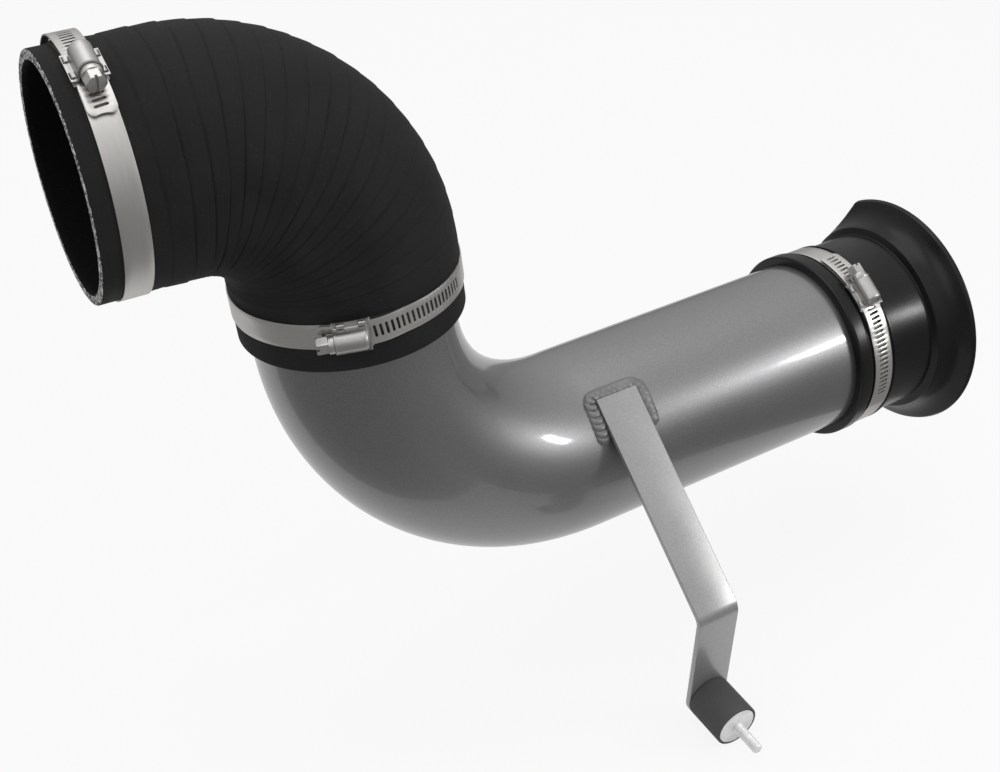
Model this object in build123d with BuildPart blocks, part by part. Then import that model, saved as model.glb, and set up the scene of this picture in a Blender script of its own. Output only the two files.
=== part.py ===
from build123d import *
from math import cos, degrees, radians, sin, sqrt, tan
import os

# Cold air intake pipe: a wrapped rubber elbow, a bent metal tube with a welded bracket
# and a rubber isolator, a flared rubber adapter, and three worm-drive hose clamps.
# Millimetres. X runs along the tube's long leg and out through the flare, +Z is up.
# The origin is where the adapter's bore opens into its flare, on the tube's axis.

# Metal tube
tube_od = 101.6
tube_wall = 2.0
tube_bend_radius = 117.0
tube_bend_angle = 87.0
tube_long_leg = 206.6
tube_short_leg = 38.9
tube_bore_steps = 12

# Flared rubber adapter
adapter_bore_radius = 48.0
adapter_stop_length = 16.0
adapter_grip_length = 38.0
adapter_seat_wall = 3.4
adapter_lip_height = 1.8
adapter_lip_width = 9.0
adapter_lip_chamfer = 1.1
adapter_ridge_height = 0.8
adapter_ridge_width = 2.0
adapter_neck_radius = 53.4
adapter_neck_end = 2.8
adapter_shoulder_x = 4.2
adapter_shoulder_radius = 57.5
adapter_lip_line_x = 18.8
adapter_lip_line_radius = 69.8
adapter_rim_x = 21.8
adapter_rim_radius = 71.0
adapter_flare_wall = 3.2
adapter_trim_distance = 56.3
adapter_trim_turn = 65.0

# Wrapped rubber elbow
hose_wall = 5.2
hose_bend_radius = 73.7
hose_bend_angle = 87.0
hose_grip_leg = 31.8
hose_mouth_leg = 47.9
hose_clocking = 4.2
tube_in_hose = 30.0
hose_bore_steps = 12
wrap_count = 12
wrap_lap = 0.5
wrap_plain_grip = 30.5
wrap_plain_mouth = 24.5

# Flat-bar bracket on the tube
bar_width = 25.4
bar_thickness = 3.2
bar_from_bend = 12.8
bar_turn = 46.9
bar_above_tangent = 7.0
bar_arm_length = 128.4
bar_fold_angle = 53.0
bar_fold_radius = 3.0
bar_leg_length = 62.3
bar_hole_radius = 3.3

# Weld bead round the bracket's upper end
bead_radius = 4.0
bead_depth = 1.5
bead_side_gap = 3.0
bead_top_turn = 36.2
bead_side_turn = 63.5
bead_facets = 8
bead_side_sink = 0.2

# Rubber isolator with a bonded stud at each end
isolator_radius = 12.7
isolator_length = 25.4
isolator_plate_radius = 11.2
isolator_plate_thickness = 1.6
stud_radius = 3.0
outer_stud_length = 18.0
inner_stud_length = 12.0
washer_radius = 7.0
washer_thickness = 1.6
nut_flats = 10.0
nut_height = 5.0

# Worm-drive clamps
clamp_gap = 0.1
band_width = 12.7
band_thickness = 0.65
liner_thickness = 0.3
liner_lead = 73.0
liner_tail = 12.0
liner_step = 1.5
band_lap = 8.0
band_ramp = 7.0
saddle_thickness = 0.8
saddle_length = 21.0
tab_gap = 0.25
tab_length = 3.4
tab_spacing = 10.0
tab_fold = 1.2
housing_length = 17.0
housing_gap = 0.1
housing_wall = 0.8
housing_width = 16.6
dome_radius = 4.3
worm_radius = 4.0
worm_gap = 0.2
worm_inset = 1.5
collar_radius = 4.6
collar_thickness = 2.8
head_flats = 7.94
head_length = 5.6
head_slot_width = 1.2
head_slot_depth = 1.6
slot_pitch = 2.9
slot_length = 6.2
slot_width = 1.2
slot_slant = 6.0
slot_end_margin = 4.0
slots_past_housing = 21
tail_corner = 3.0
inlet_clamp_inset = 15.7
inlet_clamp_turn = 24.0
inlet_clamp_tail = 23.5
joint_clamp_inset = 19.3
joint_clamp_turn = 113.8
joint_clamp_tail = 16.0
adapter_clamp_inset = 17.5
adapter_clamp_turn = 39.2
adapter_clamp_tail = 34.0

os.makedirs("parts", exist_ok=True)

along_x = Vector(1, 0, 0)
along_y = Vector(0, 1, 0)
along_z = Vector(0, 0, 1)
tube_radius = tube_od / 2


def save(part, name):
    """Label a finished piece and write it as its own STEP file."""
    part.label = name
    export_step(part, f"parts/{name}.step")


def radial(turn):
    """Unit vector square to the long leg, turned from up towards -Y."""
    return Vector(0, -sin(radians(turn)), cos(radians(turn)))


def square_to(way, toward):
    """The direction nearest to `toward` that is square to `way`."""
    return (toward - way * toward.dot(way)).normalized()


# The duct's centre line, from the adapter back to the hose's mouth
tube_turn = radians(tube_bend_angle)
tube_outlet = along_x * -adapter_stop_length
tube_bend_start = tube_outlet - along_x * tube_long_leg
tube_bend_centre = tube_bend_start + along_z * tube_bend_radius
tube_up = Vector(-cos(tube_turn), 0, sin(tube_turn))
tube_outward = Vector(-sin(tube_turn), 0, -cos(tube_turn))
tube_bend_end = tube_bend_centre + tube_outward * tube_bend_radius
hose_end = tube_bend_end + tube_up * (tube_short_leg - tube_in_hose)

hose_turn = radians(hose_bend_angle)
hose_radius = tube_radius + hose_wall
hose_side = (tube_outward * cos(radians(hose_clocking))
             + along_y * sin(radians(hose_clocking)))
hose_hinge = tube_up.cross(hose_side)
hose_bend_start = hose_end + tube_up * hose_grip_leg
hose_bend_centre = hose_bend_start + hose_side * hose_bend_radius
mouth_way = tube_up * cos(hose_turn) + hose_side * sin(hose_turn)
mouth_inward = hose_side * -cos(hose_turn) + tube_up * sin(hose_turn)
hose_bend_end = hose_bend_centre + mouth_inward * hose_bend_radius
hose_mouth = hose_bend_end + mouth_way * hose_mouth_leg
hose_arc = hose_bend_radius * hose_turn
hose_length = hose_grip_leg + hose_arc + hose_mouth_leg


def hose_station(distance):
    """Plane square to the hose's centre line, this far along it from its lower end."""
    past_bend = distance - hose_grip_leg - hose_arc
    if distance <= hose_grip_leg:
        centre, way = hose_end + tube_up * distance, tube_up
    elif past_bend < 0:
        turned = (distance - hose_grip_leg) / hose_bend_radius
        spoke = hose_side * -cos(turned) + tube_up * sin(turned)
        centre = hose_bend_centre + spoke * hose_bend_radius
        way = tube_up * cos(turned) + hose_side * sin(turned)
    else:
        centre, way = hose_bend_end + mouth_way * past_bend, mouth_way
    return Plane(origin=centre, x_dir=hose_hinge, z_dir=way)


def tube_bend_plane(turn):
    """Plane square to the tube's centre line, this many degrees into its bend."""
    turned = radians(turn)
    spoke = along_x * -sin(turned) - along_z * cos(turned)
    way = along_x * -cos(turned) + along_z * sin(turned)
    return Plane(origin=tube_bend_centre + spoke * tube_bend_radius, x_dir=along_y, z_dir=way)


# Bent metal tube; its bore turns the bend in short straight steps
tube_bore_radius = tube_radius - tube_wall
with BuildPart() as intake_tube:
    with BuildSketch(Plane(origin=tube_outlet, x_dir=along_y, z_dir=-along_x)) as long_round:
        Circle(tube_radius)
    extrude(amount=tube_long_leg)
    with BuildSketch(tube_bend_plane(0)) as bend_round:
        Circle(tube_radius)
    revolve(axis=Axis(tube_bend_centre, along_y), revolution_arc=tube_bend_angle)
    with BuildSketch(tube_bend_plane(tube_bend_angle)) as short_round:
        Circle(tube_radius)
    extrude(amount=tube_short_leg)
    with BuildSketch(Plane(origin=tube_outlet, x_dir=along_y, z_dir=-along_x)) as long_bore:
        Circle(tube_bore_radius)
    extrude(amount=tube_long_leg, mode=Mode.SUBTRACT)
    for step in range(tube_bore_steps):
        for step_end in (step, step + 1):
            bore_turn = tube_bend_angle * step_end / tube_bore_steps
            with BuildSketch(tube_bend_plane(bore_turn)) as turning_bore:
                Circle(tube_bore_radius)
        loft(ruled=True, mode=Mode.SUBTRACT)
    with BuildSketch(tube_bend_plane(tube_bend_angle)) as short_bore:
        Circle(tube_bore_radius)
    extrude(amount=tube_short_leg, mode=Mode.SUBTRACT)
save(intake_tube.part, "intake_tube")

# Wrapped rubber elbow: plain where it is clamped; between the clamps each turn of the
# wrap starts proud of the turn before it
wrap_end = hose_length - wrap_plain_mouth
wrap_step = (wrap_end - wrap_plain_grip) / wrap_count
with BuildPart() as elbow_hose:
    with BuildSketch(hose_station(0)) as lower_ring:
        Circle(hose_radius)
    extrude(amount=wrap_plain_grip)
    for wrap in range(wrap_count):
        wrap_start = wrap_plain_grip + wrap * wrap_step
        with BuildSketch(hose_station(wrap_start)) as proud_edge:
            Circle(hose_radius + wrap_lap)
        with BuildSketch(hose_station(wrap_start + wrap_step)) as thin_edge:
            Circle(hose_radius)
        loft(ruled=True)
    with BuildSketch(hose_station(wrap_end)) as mouth_ring:
        Circle(hose_radius)
    extrude(amount=wrap_plain_mouth)
    with BuildSketch(hose_station(0)) as lower_bore:
        Circle(tube_radius)
    extrude(amount=hose_grip_leg, mode=Mode.SUBTRACT)
    for step in range(hose_bore_steps):
        for step_end in (step, step + 1):
            bore_distance = hose_grip_leg + hose_arc * step_end / hose_bore_steps
            with BuildSketch(hose_station(bore_distance)) as bend_bore:
                Circle(tube_radius)
        loft(ruled=True, mode=Mode.SUBTRACT)
    with BuildSketch(Plane(origin=hose_bend_end, x_dir=hose_hinge, z_dir=mouth_way)) as mouth_bore:
        Circle(tube_radius)
    extrude(amount=hose_mouth_leg, mode=Mode.SUBTRACT)
save(elbow_hose.part, "elbow_hose")

# Flared rubber adapter: lip, clamp seat, ridge, neck, then the flare with one side cut flat
collar_edge = -adapter_stop_length - adapter_grip_length
seat_radius = tube_radius + adapter_seat_wall
lip_radius = seat_radius + adapter_lip_height
ridge_radius = seat_radius + adapter_ridge_height
lip_end = collar_edge + adapter_lip_width
ridge_start = collar_edge + 2 * adapter_clamp_inset - adapter_lip_width
ridge_end = ridge_start + adapter_ridge_width
flare_run = adapter_lip_line_x - adapter_shoulder_x
flare_rise = adapter_lip_line_radius - adapter_shoulder_radius
flare_drop = adapter_flare_wall * sqrt(flare_run ** 2 + flare_rise ** 2) / flare_run
flare_slope = flare_rise / flare_run
rim_inner = adapter_shoulder_radius - flare_drop + flare_slope * (adapter_rim_x - adapter_shoulder_x)
with BuildPart() as flared_adapter:
    with BuildSketch(Plane.XZ) as adapter_half:
        with BuildLine() as adapter_outline:
            Polyline(
                (collar_edge, tube_radius),
                (collar_edge, lip_radius),
                (lip_end, lip_radius),
                (lip_end, seat_radius),
                (ridge_start, seat_radius),
                (ridge_start, ridge_radius),
                (ridge_end, ridge_radius),
                (ridge_end, adapter_neck_radius),
                (adapter_neck_end, adapter_neck_radius),
                (adapter_shoulder_x, adapter_shoulder_radius),
                (adapter_lip_line_x, adapter_lip_line_radius),
                (adapter_rim_x, adapter_rim_radius),
                (adapter_rim_x, rim_inner),
                (adapter_shoulder_x, adapter_shoulder_radius - flare_drop),
                (0, adapter_bore_radius),
                (-adapter_stop_length, adapter_bore_radius),
                (-adapter_stop_length, tube_radius),
                close=True,
            )
        make_face()
        corners = adapter_half.vertices()
        lip_corners = [corners.sort_by_distance((collar_edge, lip_radius))[0],
                       corners.sort_by_distance((lip_end, lip_radius))[0]]
        chamfer(lip_corners, adapter_lip_chamfer)
    revolve(axis=Axis.X)
    trim_way = radial(-adapter_trim_turn)
    split(bisect_by=Plane(origin=trim_way * adapter_trim_distance, z_dir=trim_way),
          keep=Keep.BOTTOM)
save(flared_adapter.part, "flared_adapter")

# Flat-bar bracket: the arm is a tangent to the tube, the lower leg folds back under it,
# and its round end carries the isolator
fold = radians(bar_fold_angle)
fold_gain = bar_thickness * tan(fold / 2)
bar_x = tube_bend_start.X + bar_from_bend
bar_out = radial(bar_turn)
arm_way = radial(bar_turn + 90)
leg_way = arm_way * cos(fold) - bar_out * sin(fold)
leg_out = bar_out * cos(fold) + arm_way * sin(fold)
arm_top = along_x * bar_x + bar_out * tube_radius - arm_way * bar_above_tangent
arm_corner_inner = arm_top + arm_way * (bar_arm_length - fold_gain)
arm_corner_outer = arm_top + arm_way * bar_arm_length + bar_out * bar_thickness
isolator_seat = arm_corner_outer + leg_way * bar_leg_length
leg_x = bar_arm_length + bar_leg_length * cos(fold)
leg_y = bar_thickness - bar_leg_length * sin(fold)
leg_plane = Plane(origin=isolator_seat, x_dir=along_x, z_dir=leg_out)
with BuildPart() as mount_bracket:
    with BuildSketch(Plane(origin=arm_top, x_dir=arm_way, z_dir=arm_way.cross(bar_out))) as bar_edge:
        with BuildLine() as bar_outline:
            Polyline(
                (0, 0),
                (bar_arm_length - fold_gain, 0),
                (leg_x - bar_thickness * sin(fold), leg_y - bar_thickness * cos(fold)),
                (leg_x, leg_y),
                (bar_arm_length, bar_thickness),
                (0, bar_thickness),
                close=True,
            )
        make_face()
    extrude(amount=bar_width / 2, both=True)
    folds = mount_bracket.edges().filter_by(Axis.X)
    fillet(folds.sort_by_distance(arm_corner_outer)[0], bar_fold_radius + bar_thickness)
    folds = mount_bracket.edges().filter_by(Axis.X)
    fillet(folds.sort_by_distance(arm_corner_inner)[0], bar_fold_radius)
    with BuildSketch(leg_plane) as round_end:
        Circle(bar_width / 2)
    extrude(amount=-bar_thickness)
    with BuildSketch(leg_plane) as stud_hole:
        Circle(bar_hole_radius)
    extrude(amount=-bar_thickness, mode=Mode.SUBTRACT)
save(mount_bracket.part, "mount_bracket")

# Weld bead: up one edge of the bar, across its end and down the other edge
bead_track = tube_radius - bead_depth
bead_reach = bar_width / 2 + bead_side_gap
top_way = radial(bead_top_turn)
with BuildPart() as bracket_weld:
    top_start = along_x * (bar_x - bead_reach - bead_radius) + top_way * bead_track
    with BuildSketch(Plane(origin=top_start, x_dir=top_way, z_dir=along_x)) as top_bead:
        RegularPolygon(bead_radius, bead_facets, rotation=180 / bead_facets)
    extrude(amount=2 * (bead_reach + bead_radius))
    for side in (-1, 1):
        side_start = along_x * (bar_x + side * bead_reach) + top_way * (bead_track - bead_side_sink)
        side_plane = Plane(origin=side_start, x_dir=top_way, z_dir=along_x.cross(top_way))
        with BuildSketch(side_plane) as side_bead:
            RegularPolygon(bead_radius, bead_facets, rotation=180 / bead_facets)
        revolve(axis=Axis.X, revolution_arc=bead_side_turn - bead_top_turn)
    inside_start = along_x * (bar_x - bar_width)
    with BuildSketch(Plane(origin=inside_start, x_dir=along_y, z_dir=along_x)) as inside:
        Circle(tube_radius - tube_wall / 2)
    extrude(amount=2 * bar_width, mode=Mode.SUBTRACT)
    add(intake_tube.part, mode=Mode.SUBTRACT)
    add(mount_bracket.part, mode=Mode.SUBTRACT)
save(bracket_weld.part, "bracket_weld")

# Rubber isolator on the bracket's lower leg, with a bonded stud at each end
free_face = isolator_seat + leg_out * isolator_length
with BuildPart() as isolator_rubber:
    with BuildSketch(leg_plane) as rubber_round:
        Circle(isolator_radius)
    extrude(amount=isolator_length)
    with BuildSketch(leg_plane) as inner_pocket:
        Circle(isolator_plate_radius)
    extrude(amount=isolator_plate_thickness, mode=Mode.SUBTRACT)
    with BuildSketch(leg_plane.offset(isolator_length)) as outer_pocket:
        Circle(isolator_plate_radius)
    extrude(amount=-isolator_plate_thickness, mode=Mode.SUBTRACT)
save(isolator_rubber.part, "isolator_rubber")

with BuildPart() as isolator_inner_stud:
    with BuildSketch(leg_plane) as inner_plate:
        Circle(isolator_plate_radius)
    extrude(amount=isolator_plate_thickness)
    with BuildSketch(leg_plane) as inner_shank:
        Circle(stud_radius)
    extrude(amount=-inner_stud_length)
save(isolator_inner_stud.part, "isolator_inner_stud")

with BuildPart() as isolator_outer_stud:
    with BuildSketch(leg_plane.offset(isolator_length)) as outer_plate:
        Circle(isolator_plate_radius)
    extrude(amount=-isolator_plate_thickness)
    with BuildSketch(leg_plane.offset(isolator_length)) as outer_shank:
        Circle(stud_radius)
    extrude(amount=outer_stud_length)
save(isolator_outer_stud.part, "isolator_outer_stud")

with BuildPart() as isolator_washer:
    with BuildSketch(leg_plane.offset(-bar_thickness)) as washer_ring:
        Circle(washer_radius)
        Circle(bar_hole_radius, mode=Mode.SUBTRACT)
    extrude(amount=-washer_thickness)
save(isolator_washer.part, "isolator_washer")

with BuildPart() as isolator_nut:
    with BuildSketch(leg_plane.offset(-bar_thickness - washer_thickness)) as nut_ring:
        RegularPolygon(nut_flats / 2, 6, major_radius=False)
        Circle(stud_radius, mode=Mode.SUBTRACT)
    extrude(amount=-nut_height)
save(isolator_nut.part, "isolator_nut")


def make_clamp(name, centre, way, toward, seat, tail):
    """One worm-drive clamp. Its X points through the housing, Y along the screw to its
    head, Z along the duct; seat is the radius it grips, tail the band past the screw."""
    frame = Plane(origin=centre, x_dir=square_to(way, toward), z_dir=way)
    across = Plane(origin=centre, x_dir=frame.x_dir, z_dir=-frame.y_dir)
    lower_top = liner_thickness + band_thickness
    upper_bottom = lower_top + saddle_thickness
    upper_top = upper_bottom + band_thickness
    saddle_turn = degrees(saddle_length / 2 / seat)
    lap_turn = degrees(band_lap / seat)
    ramp_end = 360 - saddle_turn - 0.5
    ramp_start = ramp_end - degrees(band_ramp / seat)
    liner_start = 360 - degrees(liner_lead / seat)
    liner_end = degrees(liner_tail / seat)
    step_turn = degrees(liner_step / seat)
    tail_turn = degrees(tail / seat)

    # Liner: a short strip under the screw that covers the slots
    with BuildPart() as liner:
        with BuildSketch(frame) as liner_strip:
            with BuildLine() as liner_outline:
                inner = CenterArc((0, 0), seat, liner_start - 360, liner_end + 360 - liner_start)
                outer = CenterArc((0, 0), seat + liner_thickness, liner_start - 360,
                                  liner_end + 360 - liner_start)
                Line(inner @ 0, outer @ 0)
                Line(inner @ 1, outer @ 1)
            make_face()
        extrude(amount=band_width / 2, both=True)
    save(liner.part, f"{name}_liner")

    # Band: one layer round the duct that steps over the liner and then over the saddle
    stretches = (
        (liner_thickness, -lap_turn, liner_end),
        (0, liner_end + step_turn, liner_start - step_turn),
        (liner_thickness, liner_start, ramp_start),
        (upper_bottom, ramp_end, 360 + tail_turn),
    )
    with BuildPart() as band:
        with BuildSketch(frame) as band_profile:
            with BuildLine() as band_outline:
                ends = []
                for layer in (0, band_thickness):
                    arcs = [CenterArc((0, 0), seat + rise + layer, start, stop - start)
                            for rise, start, stop in stretches]
                    for before, after in zip(arcs, arcs[1:]):
                        Line(before @ 1, after @ 0)
                    ends.append((arcs[0] @ 0, arcs[-1] @ 1))
                Line(ends[0][0], ends[1][0])
                Line(ends[0][1], ends[1][1])
            make_face()
        extrude(amount=band_width / 2, both=True)
        tail_tip = frame.from_local_coords(
            Vector(seat + upper_top, 0).rotate(Axis.Z, tail_turn))
        tip_edges = band.edges().filter_by(lambda edge: edge.length < band_thickness * 1.1)
        fillet(tip_edges.sort_by_distance(tail_tip)[0:2], tail_corner)
        slot_span = tail - slot_end_margin + housing_length / 2
        slot_count = int(slot_span / slot_pitch + slots_past_housing)
        slot_planes = []
        for slot in range(slot_count):
            turn = degrees((tail - slot_end_margin - slot * slot_pitch) / (seat + upper_top))
            outward = frame.x_dir * cos(radians(turn)) + frame.y_dir * sin(radians(turn))
            lapped = turn > ramp_end - 360
            floor = seat + (upper_bottom - saddle_thickness / 2 if lapped else -saddle_thickness)
            slot_planes.append(Plane(origin=centre + outward * floor, x_dir=way, z_dir=outward))
        with BuildSketch(*slot_planes) as slots:
            Rectangle(slot_length, slot_width, rotation=slot_slant)
        extrude(amount=upper_top + 2 * saddle_thickness, mode=Mode.SUBTRACT)
    save(band.part, f"{name}_band")

    # Saddle: a curved plate between the band's layers; its four tabs fold over the housing
    tab_inner = band_width / 2 + tab_gap
    tab_outer = tab_inner + saddle_thickness
    tab_base = seat + lower_top + saddle_thickness / 3
    flange_bottom = seat + upper_top + housing_gap
    flange_top = flange_bottom + housing_wall
    with BuildPart() as saddle:
        with BuildSketch(frame) as saddle_strip:
            with BuildLine() as saddle_outline:
                inner = CenterArc((0, 0), seat + lower_top, -saddle_turn, 2 * saddle_turn)
                outer = CenterArc((0, 0), seat + upper_bottom, -saddle_turn, 2 * saddle_turn)
                Line(inner @ 0, outer @ 0)
                Line(inner @ 1, outer @ 1)
            make_face()
        extrude(amount=tab_outer, both=True)
        for end in (-1, 1):
            with BuildSketch(across.offset(end * tab_spacing / 2)) as tab_profile:
                for side in (-1, 1):
                    with BuildLine() as tab_outline:
                        Polyline(
                            (tab_base, side * tab_inner),
                            (tab_base, side * tab_outer),
                            (flange_top + saddle_thickness, side * tab_outer),
                            (flange_top + saddle_thickness, side * (tab_inner - tab_fold)),
                            (flange_top, side * (tab_inner - tab_fold)),
                            (flange_top, side * tab_inner),
                            close=True,
                        )
                    make_face()
            extrude(amount=tab_length / 2, both=True)
    save(saddle.part, f"{name}_saddle")

    # Housing: a dome over the worm, closed at the back, with a windowed flange each side
    worm_axis = seat + upper_top + worm_gap + worm_radius
    dome_outer = dome_radius + housing_wall
    dome_leg = worm_axis - flange_bottom
    dome_middle = flange_bottom + dome_leg / 2
    tab_middle = (tab_inner + tab_outer) / 2
    with BuildPart() as housing:
        with BuildSketch(across) as housing_profile:
            with Locations((worm_axis, 0)):
                Circle(dome_outer)
            with Locations((dome_middle, 0)):
                Rectangle(dome_leg, 2 * dome_outer)
            with Locations((flange_bottom + housing_wall / 2, 0)):
                Rectangle(housing_wall, housing_width)
            with Locations((worm_axis, 0)):
                Circle(dome_radius, mode=Mode.SUBTRACT)
            with Locations((dome_middle, 0)):
                Rectangle(dome_leg, 2 * dome_radius, mode=Mode.SUBTRACT)
            with Locations((flange_bottom - dome_radius / 2, 0)):
                Rectangle(dome_radius, 2 * dome_radius, mode=Mode.SUBTRACT)
        extrude(amount=housing_length / 2, both=True)
        with BuildSketch(across.offset(housing_length / 2)) as back_wall:
            with Locations((worm_axis, 0)):
                Circle(dome_outer)
            with Locations((dome_middle, 0)):
                Rectangle(dome_leg, 2 * dome_outer)
            with Locations((flange_bottom - dome_radius / 2, 0)):
                Rectangle(dome_radius, 2 * dome_radius, mode=Mode.SUBTRACT)
        extrude(amount=-housing_wall)
        with BuildSketch(Plane(origin=centre, x_dir=frame.y_dir, z_dir=frame.x_dir).offset(flange_bottom)):
            with GridLocations(tab_spacing, 2 * tab_middle, 2, 2):
                Rectangle(tab_length + 2 * housing_gap, saddle_thickness + 2 * housing_gap)
        extrude(amount=housing_wall, mode=Mode.SUBTRACT)
    save(housing.part, f"{name}_housing")

    # Screw: worm, collar against the housing's front, slotted hexagon head
    screw_plane = Plane(origin=centre + frame.x_dir * worm_axis, x_dir=frame.x_dir, z_dir=frame.y_dir)
    worm_length = housing_length - housing_wall - worm_inset
    head_end = housing_length / 2 + collar_thickness + head_length
    with BuildPart() as screw:
        with BuildSketch(screw_plane.offset(housing_length / 2)) as worm_round:
            Circle(worm_radius)
        extrude(amount=-worm_length)
        with BuildSketch(screw_plane.offset(housing_length / 2)) as collar_round:
            Circle(collar_radius)
        extrude(amount=collar_thickness)
        with BuildSketch(screw_plane.offset(head_end)) as head_hexagon:
            RegularPolygon(head_flats / 2, 6, major_radius=False, rotation=30)
        extrude(amount=-head_length)
        with BuildSketch(screw_plane.offset(head_end)) as driver_slot:
            Rectangle(2 * head_flats, head_slot_width)
        extrude(amount=-head_slot_depth, mode=Mode.SUBTRACT)
    save(screw.part, f"{name}_screw")


inlet_clamp_centre = hose_mouth - mouth_way * inlet_clamp_inset
make_clamp("inlet_clamp", inlet_clamp_centre, -mouth_way, radial(inlet_clamp_turn),
           hose_radius + clamp_gap, inlet_clamp_tail)

joint_clamp_centre = hose_end + tube_up * joint_clamp_inset
joint_clamp_toward = (along_x * cos(radians(joint_clamp_turn))
                      - along_y * sin(radians(joint_clamp_turn)))
make_clamp("joint_clamp", joint_clamp_centre, -tube_up, joint_clamp_toward,
           hose_radius + clamp_gap, joint_clamp_tail)

adapter_clamp_centre = along_x * (collar_edge + adapter_clamp_inset)
make_clamp("adapter_clamp", adapter_clamp_centre, -along_x, radial(adapter_clamp_turn),
           seat_radius + clamp_gap, adapter_clamp_tail)
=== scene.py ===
from math import acos, ceil, cos, pi, radians, sin, sqrt, tan

import bmesh
import bpy
from mathutils import Matrix, Vector, noise


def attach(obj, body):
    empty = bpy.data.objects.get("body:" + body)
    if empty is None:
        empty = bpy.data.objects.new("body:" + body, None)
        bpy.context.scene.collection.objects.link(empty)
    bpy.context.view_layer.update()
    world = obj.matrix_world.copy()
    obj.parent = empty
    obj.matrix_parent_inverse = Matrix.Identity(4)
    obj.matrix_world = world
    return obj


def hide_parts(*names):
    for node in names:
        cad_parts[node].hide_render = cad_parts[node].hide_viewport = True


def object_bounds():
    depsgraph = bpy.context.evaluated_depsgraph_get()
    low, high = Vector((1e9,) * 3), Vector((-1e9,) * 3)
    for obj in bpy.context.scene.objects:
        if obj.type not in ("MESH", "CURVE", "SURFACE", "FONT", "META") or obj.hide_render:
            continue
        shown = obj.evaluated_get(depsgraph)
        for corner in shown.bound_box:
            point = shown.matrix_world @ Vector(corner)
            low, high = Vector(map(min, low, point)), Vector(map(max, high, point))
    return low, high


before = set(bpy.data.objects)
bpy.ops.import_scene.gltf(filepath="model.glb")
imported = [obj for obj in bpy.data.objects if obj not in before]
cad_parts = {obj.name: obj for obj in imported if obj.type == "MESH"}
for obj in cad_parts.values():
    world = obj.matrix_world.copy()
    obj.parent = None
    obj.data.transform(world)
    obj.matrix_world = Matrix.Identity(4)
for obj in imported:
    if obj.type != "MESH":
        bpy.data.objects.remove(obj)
cad_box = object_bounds()

# Cold air intake pipe, dressed for its picture. The sizes are the part's own, in
# millimetres; new_mesh turns them into metres.
MM = 0.001
merge_distance = 0.01 * MM

# Radius of the smallest ring of a turned piece that closes on its axis
axis_radius = 0.01

# Metal tube. A rounded rim has its middle point in by rim_corner of its rounding.
tube_radius = 50.8
tube_wall = 2.0
tube_bend_radius = 117.0
tube_bend_angle = radians(87.0)
tube_long_leg = 206.6
tube_short_leg = 38.9
tube_rim_round = 0.5
rim_corner = 0.3
tube_facets = 160
tube_leg_steps = 12
tube_bend_steps = 120
tube_end_steps = 4

# Flared rubber adapter
adapter_bore_radius = 48.0
adapter_stop_length = 16.0
adapter_grip_length = 38.0
adapter_seat_radius = tube_radius + 3.4
adapter_lip_radius = adapter_seat_radius + 1.8
adapter_lip_width = 9.0
adapter_ridge_radius = adapter_seat_radius + 0.8
adapter_ridge_width = 2.0
adapter_ridge_inset = 26.0
adapter_neck_radius = 53.4
adapter_neck_end = 2.8
adapter_shoulder = (4.2, 57.5)
adapter_lip_line = (18.8, 69.8)
adapter_rim = (21.8, 71.0)
adapter_flare_wall = 3.2
adapter_flare_hollow = 2.8
adapter_flare_curve = 16.0
adapter_trim_distance = 56.3
adapter_trim_turn = 65.0
adapter_trim_block = (200.0, 300.0, 60.0)
adapter_facets = 224

# Wrapped rubber elbow
hose_wall = 5.2
hose_radius = tube_radius + hose_wall
hose_bend_radius = 73.7
hose_bend_angle = radians(87.0)
hose_grip_leg = 31.8
hose_mouth_leg = 47.9
hose_clocking = radians(4.2)
tube_in_hose = 30.0
hose_rim_round = 0.7
hose_facets = 200
hose_bore_steps = 60
hose_plain_steps = 3
hose_map_stretch = 4

# Wraps of the elbow. The profile is (share of the pitch, share of the lap's height).
wrap_pitch = 12.0
wrap_lap = 0.6
wrap_groove = 0.4
wrap_plain_grip = 30.5
wrap_plain_mouth = 22.0
wrap_profile = ((0.0, 0.75), (0.03, 1.0), (0.2, 0.85), (0.5, 0.5), (0.8, 0.2), (0.925, 0.03),
                (0.96, -wrap_groove / wrap_lap), (0.985, -wrap_groove / wrap_lap))
# A wrap wanders along the hose in shares of the pitch, and its lap is lower at the grip end
wrap_wander = 0.16
wrap_sweep = 0.30
wrap_sweep_start = 0.5
wrap_sweep_drift = 0.12
wrap_settle = 1.5
wrap_fade = 0.55
wrap_fade_power = 1.5
wrap_noise_round = 1.3
wrap_noise_step = 0.9
wrap_lap_noise_scale = 1.7
wrap_lap_low = 0.75
wrap_lap_noise = 0.5

# Bracket
bar_width = 25.4
bar_thickness = 3.2
bar_station = 193.8
bar_turn = 46.9
bar_above_tangent = 7.0
bar_arm_length = 128.4
bar_fold_angle = radians(53.0)
bar_fold_radius = 6.0
bar_leg_length = 62.3
bar_hole_radius = 3.3
bar_edge_round = 0.55
bar_edge_share = 0.9
bar_arm_steps = 12
bar_fold_steps = 12
bar_leg_steps = 8
bar_end_steps = 18
bar_least_half = 0.02

# Weld bead
bead_radius = 4.2
bead_height = 2.5
bead_sink = 0.9
bead_side_gap = 3.3
bead_top_turn = 36.2
bead_side_turn = 66.0
bead_corner = 5.0
bead_spacing = 0.4
bead_section_steps = 20
bead_tip_share = 0.06
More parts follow.
